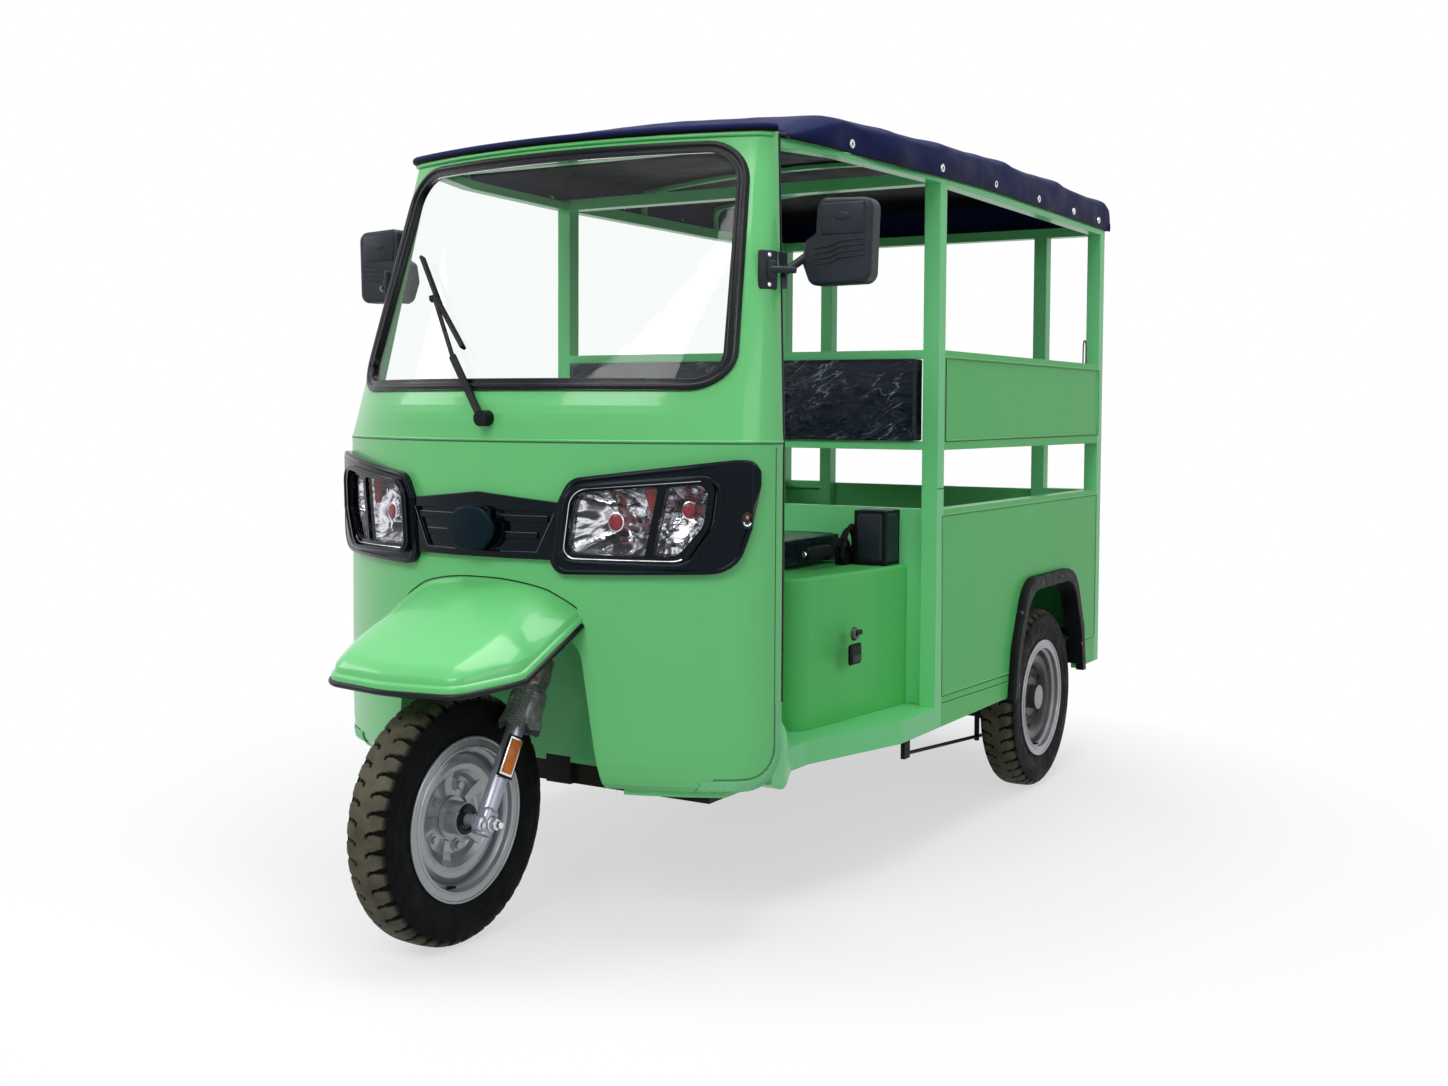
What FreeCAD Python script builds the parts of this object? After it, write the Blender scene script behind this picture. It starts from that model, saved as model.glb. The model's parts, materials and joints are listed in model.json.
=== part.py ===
"""Electric auto rickshaw with three wheels: the driver's cab in front, an open passenger box behind.

Millimetres. The vehicle faces -Y, +X is its own left side, +Z is up. The origin is on the ground,
below the middle of the whole vehicle.
"""

import FreeCAD, Part
import math
import os
import re

import Sketcher

V = FreeCAD.Vector

# Driving dimensions: name, millimetres or degrees
SIZES = [
    # wheels and axles
    ("front_axle_y", -1133),
    ("wheelbase", 1982),
    ("tyre_outer_r", 262),
    ("tyre_half", 52),
    ("tread_half", 43),
    ("bead_r", 150.6),
    ("flange_r", 170),
    ("rim_half", 48),
    ("ledge_half", 34),
    ("drop_r", 142),
    ("flange_thick", 4),
    ("rim_wall", 4.5),
    ("disc_offset", 18),
    ("disc_wall", 5),
    ("hub_r", 34),
    ("hub_half", 46),
    ("axle_r", 9),
    ("lobe_count", 5),
    ("lobe_r", 19),
    ("nut_r", 9),
    ("nut_ring_r", 66),
    ("washer_r", 13),
    ("arm_angle", 17),
    ("collar_r", 43),
    ("hub_plate_r", 88),
    ("hub_cap_r", 36),
    ("hub_cap_rise", 26),
    # running clearances
    ("seat_gap", 0.3),
    ("run_gap", 0.3),
    # fork and steering
    ("rake", 30),
    ("fork_offset", 40),
    ("leg_x", 92),
    ("slider_r", 19),
    ("tube_r", 15.5),
    ("slider_top", 235),
    ("yoke_low", 470),
    ("yoke_thick", 26),
    ("steerer_r", 17),
    ("head_low", 560),
    ("head_top", 760),
    ("head_outer_r", 28),
    ("bar_level", 890),
    ("bar_half", 330),
    ("bar_r", 12),
    ("grip_r", 17),
    ("grip_long", 118),
    ("sleeve_low", 212),
    ("sleeve_top", 360),
    ("sleeve_r", 44),
    ("sleeve_shift", 11),
    ("sleeve_inner_x", 60),
    # body
    ("body_half", 589),
    ("body_bottom", 307),
    ("box_top", 861),
    ("side_wall", 18),
    ("post", 42),
    ("mid_post_y", 29),
    ("rear_overhang", 524),
    ("roof_rail_z", 1675),
    ("roof_rail_high", 30),
    ("panel_low", 1011),
    ("panel_top", 1262),
    ("rail_high", 22),
    ("driver_floor_z", 362),
    ("floor_skin", 10),
    ("cargo_floor_z", 400),
    ("cargo_floor_thick", 12),
    # cab
    ("cab_bottom", 322),
    ("crease_z", 1040),
    ("cowl_z", 1082),
    ("screen_foot_z", 1150),
    ("cab_top", 1705),
    ("cab_front_y", -1031),
    ("cab_top_front_y", -756),
    ("cab_corner_r", 120),
    ("cab_top_corner_r", 42),
    ("cab_wall", 14),
    ("chin_in", 28),
    ("chin_high", 90),
    ("heel_r", 92),
    # windscreen
    ("screen_low_z", 1147),
    ("screen_top_z", 1682),
    ("screen_low_r", 75),
    ("screen_top_r", 100),
    ("seal_wide", 24),
    ("seal_lip", 8),
    ("seal_proud", 5),
    ("glass_thick", 5),
    # front lamps and grille
    ("fascia_proud", 17),
    ("bezel_proud", 27),
    ("bezel_frame", 15),
    ("bar_proud", 12),
    ("recess_proud", 4),
    ("slat_proud", 10),
    ("slat_high", 13),
    ("roundel_wide", 61),
    ("roundel_high", 47),
    ("roundel_proud", 34),
    ("lens_proud", 13),
    ("lens_thick", 4),
    ("bowl_deep", 62),
    ("bowl_wall", 3.5),
    # wheel arch in the cab and its inner housing
    ("arch_top", 640),
    ("arch_top_half", 232),
    ("arch_low_half", 280),
    ("well_half", 300),
    ("well_top", 750),
    ("well_rear_y", -764),
    ("well_wall", 6),
    # front fender
    ("fender_tip_y", -1321),
    ("fender_side_y", -1185),
    ("fender_half", 222),
    ("fender_rear_half", 238),
    ("fender_corner_r", 95),
    ("fender_crown_rear", 760),
    ("fender_crown_front", 598),
    ("fender_shoulder", 86),
    ("fender_low_rear", 650),
    ("fender_low_mid", 574),
    ("fender_low_front", 550),
    ("fender_wall", 5),
    ("trim_high", 11),
    ("trim_proud", 4),
    # driver's place
    ("seat_box_top", 719),
    ("seat_box_wall", 10),
    ("seat_box_corner_r", 55),
    ("seat_thick", 84),
    ("seat_deep", 372),
    # roof
    ("canopy_thick", 6),
    ("hem_front", 1694),
    ("hem_mid", 1682),
    ("hem_rear", 1693),
    ("fold_front", 1714),
    ("fold_mid", 1775),
    ("fold_rear", 1794),
    ("crown_rise", 34),
    ("bow_thick", 10),
    ("bow_wide", 26),
    # rear wheel arch
    ("arch_shift", 17),
    ("flare_half", 322),
    ("flare_top", 640),
    ("flare_band", 34),
    ("flare_proud", 23),
    # passenger box
    ("bench_top", 690),
    ("bench_wall", 12),
    ("bench_cushion_thick", 60),
    ("door_thick", 26),
    ("door_gap", 6),
    ("pin_r", 7),
    # running gear
    ("rail_wide", 50),
    ("rail_deep", 60),
    ("axle_tube_r", 29),
    ("diff_r", 96),
    ("motor_r", 82),
    ("motor_long", 250),
    ("spring_wide", 50),
    ("leaf_thick", 8),
    ("leaf_count", 4),
    ("spring_rise", 78),
    # mirrors
    ("mirror_x", 640),
    ("mirror_y", -640),
    ("mirror_z", 1466),
    ("mirror_wide", 152),
    ("mirror_high", 186),
    ("mirror_deep", 42),
]

# Dimensions that follow from others: name, formula
FORMULAS = [
    ("rear_axle_y", "front_axle_y + wheelbase"),
    ("rear_y", "rear_axle_y + rear_overhang"),
    ("canopy_rear_y", "rear_y + 22"),
    ("rear_track_half", "body_half - tyre_half - 1"),
    ("rail_x", "rear_track_half - 166"),
    ("spring_half_long", "(rear_axle_y - mid_post_y) * 0.512"),
    ("inner_post_x", "body_half * 0.662"),
    ("bench_x", "body_half * 0.496"),
    ("cab_half", "body_half - 12"),
    ("cab_top_half", "cab_half - 83"),
    ("cab_rear_y", "cab_front_y + 275"),
    ("cab_top_rear_y", "cab_rear_y + 121"),
    ("screen_low_half", "cab_half - 65"),
    ("screen_top_half", "cab_top_half - 32"),
    ("canopy_half", "body_half + 12"),
    ("canopy_front_half", "cab_top_half + 13"),
    ("sill_waist_half", "body_half - 89"),
    ("sill_waist_y", "mid_post_y - 520"),
    ("sill_full_y", "mid_post_y - 200"),
    ("seat_box_half", "body_half - post - 47"),
    ("seat_box_front_half", "seat_box_half - 58"),
    ("seat_box_front_y", "mid_post_y - 459"),
    ("seat_half", "seat_box_half - 170"),
]

doc = FreeCAD.newDocument("Rickshaw")
sheet = doc.addObject("Spreadsheet::Sheet", "Sizes")
for row, (alias, number) in enumerate(SIZES, start=1):
    sheet.set(f"A{row}", alias)
    sheet.set(f"B{row}", str(number))
    sheet.setAlias(f"B{row}", alias)
for row, (alias, formula) in enumerate(FORMULAS, start=len(SIZES) + 1):
    sheet.set(f"A{row}", alias)
    sheet.set(f"B{row}", "=" + formula)
    sheet.setAlias(f"B{row}", alias)
doc.recompute()

NAMES = {alias for alias, value in SIZES + FORMULAS}


def size(alias):
    """The value of one driving dimension."""
    return float(sheet.get(alias))


def ref(text):
    """An expression in which each driving dimension is named with its sheet."""
    return re.sub(r"[a-z_]+", lambda m: "Sizes." + m.group(0) if m.group(0) in NAMES else m.group(0), str(text))


def bind(thing, **properties):
    """Ties properties to expressions; a double underscore stands for a dot."""
    for path, text in properties.items():
        thing.setExpression(path.replace("__", "."), ref(text))


SUBPARTS = []


def subpart(thing, label):
    """Names a finished piece, which is then written under that name."""
    thing.Label = label
    SUBPARTS.append(thing)
    return thing


# Part primitives tied to the sheet


def block(name, x, y, z, wide, deep, high):
    """A box from its lowest corner, with its sizes along X, Y and Z."""
    box = doc.addObject("Part::Box", name)
    bind(box, Length=wide, Width=deep, Height=high)
    bind(box, Placement__Base__x=x, Placement__Base__y=y, Placement__Base__z=z)
    return box


def cylinder(name, radius, length, x, y, z, along="z"):
    """A cylinder from the middle of its first end, along one axis."""
    rod = doc.addObject("Part::Cylinder", name)
    turn = {"x": (V(0, 1, 0), 90), "y": (V(-1, 0, 0), 90), "z": (V(0, 0, 1), 0)}[along]
    rod.Placement = FreeCAD.Placement(V(), FreeCAD.Rotation(*turn))
    bind(rod, Radius=radius, Height=length)
    bind(rod, Placement__Base__x=x, Placement__Base__y=y, Placement__Base__z=z)
    return rod


def fuse(name, things):
    joined = doc.addObject("Part::MultiFuse", name)
    joined.Shapes = things
    return joined


def cut(name, base, tool):
    rest = doc.addObject("Part::Cut", name)
    rest.Base = base
    rest.Tool = tool
    return rest


def mirrored(name, source):
    """The same piece on the other side of the vehicle."""
    other = doc.addObject("Part::Mirroring", name)
    other.Source = source
    other.Base = V(0, 0, 0)
    other.Normal = V(1, 0, 0)
    return other


def feature(name, shape):
    """A piece whose form comes from lofted or trimmed surfaces."""
    piece = doc.addObject("Part::Feature", name)
    piece.Shape = shape
    piece.Placement = FreeCAD.Placement()
    return piece


# Sketch helpers for the bodies


def sketch_on(body, name, role, offset=None):
    """A sketch on one of the body's own origin planes."""
    sketch = body.newObject("Sketcher::SketchObject", name)
    plane = [item for item in body.Origin.OriginFeatures if item.Role == role][0]
    sketch.AttachmentSupport = [(plane, "")]
    sketch.MapMode = "FlatFace"
    if offset:
        sketch.setExpression("AttachmentOffset.Base.z", ref(offset))
    return sketch


def polygon(sketch, corners):
    """A closed outline whose corners are tied to expressions for both coordinates."""
    first = sketch.GeometryCount
    count = len(corners)
    start = [(math.cos(2 * math.pi * i / count) * 50, math.sin(2 * math.pi * i / count) * 50) for i in range(count)]
    for i in range(count):
        a, b = start[i], start[(i + 1) % count]
        sketch.addGeometry(Part.LineSegment(V(*a, 0), V(*b, 0)), False)
    for i in range(count):
        sketch.addConstraint(Sketcher.Constraint("Coincident", first + i, 2, first + (i + 1) % count, 1))
    for i, (u, v) in enumerate(corners):
        for kind, text in (("DistanceX", u), ("DistanceY", v)):
            index = sketch.addConstraint(Sketcher.Constraint(kind, -1, 1, first + i, 1, start[i][kind == "DistanceY"]))
            sketch.setExpression(f"Constraints[{index}]", ref(text))


def circle(sketch, u, v, radius):
    """A circle whose middle and radius are tied to expressions."""
    geo = sketch.addGeometry(Part.Circle(V(10, 10, 0), V(0, 0, 1), 5), False)
    for kind, text, start in (("DistanceX", u, 10), ("DistanceY", v, 10)):
        index = sketch.addConstraint(Sketcher.Constraint(kind, -1, 1, geo, 3, start))
        sketch.setExpression(f"Constraints[{index}]", ref(text))
    index = sketch.addConstraint(Sketcher.Constraint("Radius", geo, 5))
    sketch.setExpression(f"Constraints[{index}]", ref(radius))


# Outlines with rounded corners, for the lofted and trimmed pieces


def outline(corners, plane="xz", level=0.0):
    """A closed wire through corners (u, v, radius), each corner rounded by a tangent arc."""

    def place(u, v):
        return {"xz": V(u, level, v), "xy": V(u, v, level), "yz": V(level, u, v)}[plane]

    count = len(corners)
    ends = []
    for i, (u, v, r) in enumerate(corners):
        here = V(u, v, 0)
        before = V(*corners[i - 1][:2], 0) - here
        after = V(*corners[(i + 1) % count][:2], 0) - here
        before.normalize()
        after.normalize()
        half = before.getAngle(after) / 2
        reach = r / math.tan(half) if r else 0
        bisector = before + after
        middle = here
        if r:
            bisector.normalize()
            middle = here + bisector * (r / math.sin(half) - r)
        ends.append((here + before * reach, middle, here + after * reach, r))
    edges = []
    for i, (a, m, b, r) in enumerate(ends):
        if r:
            edges.append(Part.Arc(place(a.x, a.y), place(m.x, m.y), place(b.x, b.y)).toShape())
        c = ends[(i + 1) % count][0]
        if (c - b).Length > 1e-4:
            edges.append(Part.LineSegment(place(b.x, b.y), place(c.x, c.y)).toShape())
    return Part.Wire(edges)


def flipped(corners):
    """The same outline on the other side of X = 0."""
    return [(-u, v, r) for u, v, r in reversed(corners)]


def grown(wire, by):
    return wire.makeOffset2D(by) if by else wire


def prism(wire, along):
    return Part.Face(wire).extrude(along)


# The cab: one family of plan curves, from which skin, seal, glass and lamps are all cut


def cab_section(z):
    """Front, half width, rear and corner radius of the cab at one height."""
    bottom, crease, cowl = size("cab_bottom"), size("crease_z"), size("cowl_z")
    foot, top = size("screen_foot_z"), size("cab_top")
    if z <= crease:
        low = max(0.0, 1 - (z - bottom) / size("chin_high"))
        tuck = size("chin_in") * (1 - math.sqrt(max(0.0, 1 - low * low)))
        return size("cab_front_y") + tuck, size("cab_half") - tuck * 0.5, size("cab_rear_y"), size("cab_corner_r")
    slope = (size("cab_top_front_y") - size("cab_front_y")) / (top - (cowl + foot) / 2)
    if z <= cowl:
        front = size("cab_front_y")
    elif z < foot:
        front = size("cab_front_y") + slope * (z - cowl) ** 2 / (2 * (foot - cowl))
    else:
        front = size("cab_top_front_y") - slope * (top - z)
    rise = (z - crease) / (top - crease)
    half = size("cab_half") + rise * (size("cab_top_half") - size("cab_half"))
    rear = size("cab_rear_y") + rise * (size("cab_top_rear_y") - size("cab_rear_y"))
    corner = size("cab_corner_r") + rise * (size("cab_top_corner_r") - size("cab_corner_r"))
    return front, half, rear, corner


SIDE_FLAT = 8.0  # straight stretch between the corner arc and the doorway


def cab_wire(z, inset, open_by, level):
    """The plan curve at height z, set in by inset; its rear edge is moved back by open_by."""
    front, half, rear, corner = cab_section(z)
    cx, cy = half - corner, rear - SIDE_FLAT
    gap = front - cy
    broad = (cx * cx + gap * gap - corner * corner) / (-2 * gap - 2 * corner)
    middle_y = front + broad
    big, small = broad - inset, corner - inset
    reach = math.hypot(cx, cy - middle_y)
    jx, jy = cx / reach, (cy - middle_y) / reach
    bend = V(1 + jx, jy, 0)
    bend.normalize()

    def at(x, y):
        return V(x, y, level)

    side = half - inset
    joint = at(jx * big, middle_y + jy * big)
    across = at(-jx * big, middle_y + jy * big)
    back = rear + open_by
    edges = [
        Part.LineSegment(at(side, back), at(side, cy)).toShape(),
        Part.Arc(at(side, cy), at(cx + bend.x * small, cy + bend.y * small), joint).toShape(),
        Part.Arc(joint, at(0, middle_y - big), across).toShape(),
        Part.Arc(across, at(-cx - bend.x * small, cy + bend.y * small), at(-side, cy)).toShape(),
        Part.LineSegment(at(-side, cy), at(-side, back)).toShape(),
        Part.LineSegment(at(-side, back), at(side, back)).toShape(),
    ]
    return Part.Wire(edges)


def cab_levels():
    """Heights at which the cab's plan curve changes its course."""
    bottom, cowl, foot = size("cab_bottom"), size("cowl_z"), size("screen_foot_z")
    chin = [bottom + size("chin_high") * share for share in (0, 0.12, 0.3, 0.6, 1)]
    bend = [cowl + (foot - cowl) * share for share in (0, 0.25, 0.5, 0.75, 1)]
    return chin + [size("crease_z")] + bend + [size("cab_top")]


def cab_solid(inset, low, high, open_by=0.0, over=0.0):
    """The filled cab between two heights; over stretches both ends past them."""
    levels = [low] + [z for z in cab_levels() if low + 0.5 < z < high - 0.5] + [high]
    wires = [cab_wire(z, inset, open_by, z) for z in levels]
    if over:
        wires = [cab_wire(low, inset, open_by, low - over)] + wires + [cab_wire(high, inset, open_by, high + over)]
    return Part.makeLoft(wires, True, True)


def cab_skin(outer, inner, low, high):
    """What lies between two offsets of the cab's surface."""
    return cab_solid(outer, low, high).cut(cab_solid(inner, low, high, open_by=60, over=1))


def screen_outline(inset, level):
    """The windscreen seal's outer outline, set in all round."""
    low, top = size("screen_low_half"), size("screen_top_half")
    z_low, z_top = size("screen_low_z"), size("screen_top_z")
    r_low, r_top = size("screen_low_r"), size("screen_top_r")
    corners = [(-low, z_low, r_low), (-top, z_top, r_top), (top, z_top, r_top), (low, z_low, r_low)]
    return grown(outline(corners, "xz", level), -inset)


FRONT_Y = -1250.0  # a plane ahead of the cab, from which openings are cut backwards
CUT_DEEP = V(0, 700, 0)


def screen_prism(inset):
    return prism(screen_outline(inset, FRONT_Y), CUT_DEEP)


# Lamp outlines on one side: share of the cab's half width, height above the crease, corner radius
MAIN_LENS = [(0.369, -228, 20), (0.399, -104, 36), (0.692, -88, 8), (0.648, -232, 8)]
SIDE_LENS = [(0.716, -89, 8), (0.849, -81, 22), (0.832, -168, 50), (0.749, -232, 36), (0.671, -229, 6)]
BEZEL = [(0.308, -272, 34), (0.333, -135, 60), (0.385, -74, 45), (1.017, -26, 38), (0.917, -265, 60)]
BEZEL_FRAME = [(0.340, -248, 32), (0.367, -88, 50), (0.880, -62, 34), (0.861, -168, 60), (0.775, -254, 46)]
GRILLE = [(0.367, -243, 4), (0.367, -126, 4), (0, -106, 0)]
RECESS = [(145, -229, 6), (190, -144, 6)]
SLATS = [(58, 172, -160), (70, 148, -195)]
ROUNDEL_Z = -183


def on_cab(corners):
    """Outline corners in millimetres, from shares of the cab's width and heights above the crease."""
    return [(u * size("cab_half"), size("crease_z") + v, r) for u, v, r in corners]


def lens_prisms(by):
    """The four lamp openings, grown by a margin."""
    solids = []
    for corners in (on_cab(MAIN_LENS), on_cab(SIDE_LENS)):
        for side in (corners, flipped(corners)):
            solids.append(prism(grown(outline(side, "xz", FRONT_Y), by), CUT_DEEP))
    return solids


def arch_prism():
    """The wheel's opening in the cab's front."""
    top, low = size("arch_top_half"), size("arch_low_half")
    z_low = size("cab_bottom") - 20
    corners = [(-low, z_low, 0), (-top, size("arch_top"), 60), (top, size("arch_top"), 60), (low, z_low, 0)]
    return prism(outline(corners, "xz", FRONT_Y), CUT_DEEP)


def corner_cutter():
    """What lies outside the large round at the lower rear corner of both cab sides."""
    r, rear, low = size("heel_r"), size("cab_rear_y"), size("cab_bottom")
    corner = Part.makeBox(1400, r + 10, r + 10, V(-700, rear - r, low - 10))
    kept = Part.makeCylinder(r, 1400, V(-700, rear - r, low + r), V(1, 0, 0))
    return corner.cut(kept)


def make_cab():
    bottom, crease, top = size("cab_bottom"), size("crease_z"), size("cab_top")
    lower = cab_skin(0, size("cab_wall"), bottom, crease)
    lower = lower.cut(arch_prism()).cut(corner_cutter())
    for opening in lens_prisms(size("bowl_wall") + size("seat_gap")):
        lower = lower.cut(opening)
    subpart(feature("CabLowerPanel", lower), "cab_lower_panel")
    upper = cab_skin(0, size("cab_wall"), crease, top).cut(screen_prism(size("seal_lip")))
    subpart(feature("CabUpperFrame", upper), "cab_upper_frame")


def make_windscreen():
    low, high = size("crease_z"), size("cab_top")
    gap, proud, wall = size("seat_gap"), size("seal_proud"), size("cab_wall")
    room = screen_prism(size("seal_wide"))
    lip = cab_skin(-proud, -gap, low, high).common(screen_prism(0).cut(room))
    core = cab_skin(-proud, wall + proud, low, high).common(screen_prism(size("seal_lip") + gap).cut(room))
    subpart(feature("WindscreenSeal", lip.fuse(core)), "windscreen_seal")
    glass = cab_skin(wall / 2 - size("glass_thick") / 2, wall / 2 + size("glass_thick") / 2, low, high)
    glass = glass.common(screen_prism(size("seal_wide") + gap))
    subpart(feature("WindscreenGlass", glass), "windscreen_glass")


def make_lamps():
    """The dark fascia across the front, the reflector bowls behind it and the clear lenses."""
    gap = size("seat_gap")
    low, high = size("crease_z") - 300, size("crease_z")
    base_skin = cab_skin(-size("fascia_proud"), -gap, low, high)
    frame_skin = cab_skin(-size("bezel_proud"), -gap, low, high)
    bar_skin = cab_skin(-size("bar_proud"), -gap, low, high)
    slat_skin = cab_skin(-size("slat_proud"), -gap, low, high)
    pieces = []
    keep = Part.makeBox(1400, 412, 600, V(-700, FRONT_Y, 600))
    for corners in (on_cab(BEZEL), flipped(on_cab(BEZEL))):
        pieces.append(base_skin.common(prism(outline(corners, "xz", FRONT_Y), CUT_DEEP)).common(keep))
    for side in (1, -1):
        frame = on_cab(BEZEL_FRAME)
        wire = outline(frame if side > 0 else flipped(frame), "xz", FRONT_Y)
        band = prism(wire, CUT_DEEP).cut(prism(grown(wire, -size("bezel_frame") * 0.55), CUT_DEEP))
        pieces.append(frame_skin.common(band))
    half_bar = on_cab(GRILLE)
    bar = half_bar + flipped(half_bar[:-1])
    pieces.append(bar_skin.common(prism(outline(bar, "xz", FRONT_Y), CUT_DEEP)))
    crease = size("crease_z")
    recess = [(x, crease + drop, r) for x, drop, r in RECESS]
    recess_wall = prism(outline(recess + flipped(recess), "xz", FRONT_Y), CUT_DEEP)
    sunk = cab_skin(-size("bar_proud") - 5, -size("recess_proud"), low, high).common(recess_wall)
    pieces[-1] = pieces[-1].cut(sunk)
    for near, far, drop in SLATS:
        z = crease + drop - size("slat_high") / 2
        for x in (near, -far):
            slat = Part.makeBox(far - near, 520, size("slat_high"), V(x, FRONT_Y, z))
            pieces.append(slat_skin.common(slat))
    disc = Part.Ellipse(V(0, 0, 0), size("roundel_wide"), size("roundel_high")).toShape()
    disc.rotate(V(0, 0, 0), V(1, 0, 0), 90)
    disc.translate(V(0, FRONT_Y, crease + ROUNDEL_Z))
    roundel_skin = cab_skin(-size("roundel_proud"), -gap, low, high)
    pieces.append(roundel_skin.common(prism(Part.Wire([disc]), CUT_DEEP)))
    fascia = pieces[0].multiFuse(pieces[1:]).removeSplitter()
    for opening in lens_prisms(0):
        fascia = fascia.cut(opening)
    subpart(feature("LampFascia", fascia), "lamp_fascia")

    wall, deep = size("bowl_wall"), size("bowl_deep")
    outer_skin = cab_skin(0, deep, low, high)
    inner_skin = cab_skin(-1, deep - wall, low, high)
    bowls = []
    for solid, hollow in zip(lens_prisms(wall), lens_prisms(0)):
        bowls.append(outer_skin.common(solid).cut(inner_skin.common(hollow)))
    subpart(feature("LampBowls", Part.makeCompound(bowls)), "lamp_bowls")
    lens_skin = cab_skin(-size("lens_proud"), -size("lens_proud") + size("lens_thick"), low, high)
    lenses = [lens_skin.common(solid) for solid in lens_prisms(-gap)]
    subpart(feature("LampLenses", Part.makeCompound(lenses)), "lamp_lenses")


def make_wheel_well():
    """Open box over the front wheel, between the cab's front and the driver's feet."""
    half, top, wall = size("well_half"), size("well_top"), size("well_wall")
    rear, bottom = size("well_rear_y"), size("cab_bottom")
    outer = Part.makeBox(2 * half + 2 * wall, 400, top + wall - bottom, V(-half - wall, rear + wall - 400, bottom))
    inner = Part.makeBox(2 * half, 500, top - bottom + 10, V(-half, rear - 500, bottom - 10))
    box = outer.cut(inner)
    inside = cab_solid(size("cab_wall") + size("seat_gap"), bottom, size("crease_z"), open_by=0, over=1)
    reach = Part.makeBox(1400, 400, 500, V(-700, rear + wall - 400, bottom))
    box = box.common(inside.common(reach))
    hole = Part.makeCylinder(size("head_outer_r") + size("seat_gap"), 900)
    hole.Placement = steering_placement()
    subpart(feature("WheelWell", box.cut(hole)), "wheel_well")


def steering_placement():
    """Carries pieces drawn upright, with the steering axis along Z, to the raked head."""
    rake = math.radians(size("rake"))
    base = V(
        0,
        size("front_axle_y") + size("fork_offset") * math.cos(rake),
        size("tyre_outer_r") - size("fork_offset") * math.sin(rake),
    )
    return FreeCAD.Placement(base, FreeCAD.Rotation(V(-1, 0, 0), size("rake")))


def rake_piece(thing):
    """Leans a piece that is drawn upright about the steering axis."""
    thing.Placement = steering_placement()
    bind(
        thing,
        Placement__Base__y="front_axle_y + fork_offset * cos(rake)",
        Placement__Base__z="tyre_outer_r - fork_offset * sin(rake)",
        Placement__Rotation__Angle="rake",
    )
    return thing


def make_fork():
    """Steerer, yoke, both telescopic legs and the axle, drawn upright and then raked."""
    things = [
        cylinder("Steerer", "steerer_r", "bar_level - yoke_low + 14", "0", "0", "yoke_low"),
        block(
            "Yoke",
            "-leg_x - tube_r - 6",
            "-fork_offset - tube_r - 4",
            "yoke_low",
            "2 * leg_x + 2 * tube_r + 12",
            "fork_offset + tube_r + 4 + steerer_r + 8",
            "yoke_thick",
        ),
        cylinder("Axle", "axle_r", "2 * leg_x + 2 * slider_r + 26", "-leg_x - slider_r - 13", "-fork_offset", "0", "x"),
    ]
    for side, sign in (("Left", ""), ("Right", "-")):
        x = f"{sign}leg_x"
        things.append(cylinder(f"Slider{side}", "slider_r", "slider_top + 26", x, "-fork_offset", "-26"))
        things.append(cylinder(f"Tube{side}", "tube_r", "yoke_low - slider_top + 10", x, "-fork_offset", "slider_top"))
        nut_x = "leg_x + slider_r - 4" if side == "Left" else "-leg_x - slider_r - 6"
        things.append(cylinder(f"Nut{side}", "axle_r + 5", "10", nut_x, "-fork_offset", "0", "x"))
        boss_x = "leg_x - 6" if side == "Left" else "-leg_x - slider_r - 3"
        things.append(cylinder(f"Boss{side}", "slider_r - 3", "slider_r + 9", boss_x, "-fork_offset", "0", "x"))
    subpart(rake_piece(fuse("Fork", things)), "fork")

    sleeves = []
    long = "sleeve_top - sleeve_low"
    for side, sign in (("Left", 1), ("Right", -1)):
        s = "" if sign > 0 else "-"
        x = f"{s}(leg_x + sleeve_shift)"
        wrap = cylinder(f"Wrap{side}", "sleeve_r", long, x, "-fork_offset", "sleeve_low")
        inner = "sleeve_inner_x - 60" if sign > 0 else "-sleeve_inner_x"
        side_cut = block(f"WrapSide{side}", inner, "-fork_offset - 60", "sleeve_low - 10", "60", "120", long + " + 20")
        hole = cylinder(f"WrapHole{side}", "slider_r + seat_gap", long + " + 20", f"{s}leg_x", "-fork_offset", "sleeve_low - 10")
        sleeves.append(cut(f"Sleeve{side}", wrap, fuse(f"WrapCut{side}", [side_cut, hole])))
    subpart(rake_piece(fuse("ForkSleeves", sleeves)), "fork_sleeves")


def make_handlebar():
    """Bar with grips, risers and clamp on top of the steerer."""
    level = "bar_level + 14 + bar_r + seat_gap"
    things = [
        block("BarClamp", "-34", "-steerer_r - 6", "bar_level + 14 + seat_gap", "68", "2 * steerer_r + 12", "2 * bar_r + 6"),
        cylinder("BarMiddle", "bar_r", "2 * bar_half - grip_long", "-bar_half + grip_long / 2", "0", level, "x"),
    ]
    for side, x in (("Left", "bar_half - grip_long"), ("Right", "-bar_half")):
        things.append(cylinder(f"Grip{side}", "grip_r", "grip_long", x, "0", level, "x"))
        lever = "bar_half - grip_long - 22" if side == "Left" else "-bar_half + grip_long"
        things.append(block(f"Switch{side}", lever, "-19", level + " - 19", "22", "38", "38"))
        reach = "bar_half - 130" if side == "Left" else "-bar_half + 10"
        things.append(block(f"Lever{side}", reach, "-52", level + " - 4", "120", "9", "8"))
        knee = "bar_half - 136" if side == "Left" else "-bar_half + 114"
        things.append(block(f"LeverRoot{side}", knee, "-52", level + " - 5", "22", "50", "10"))
    subpart(rake_piece(fuse("Handlebar", things)), "handlebar")


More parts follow.
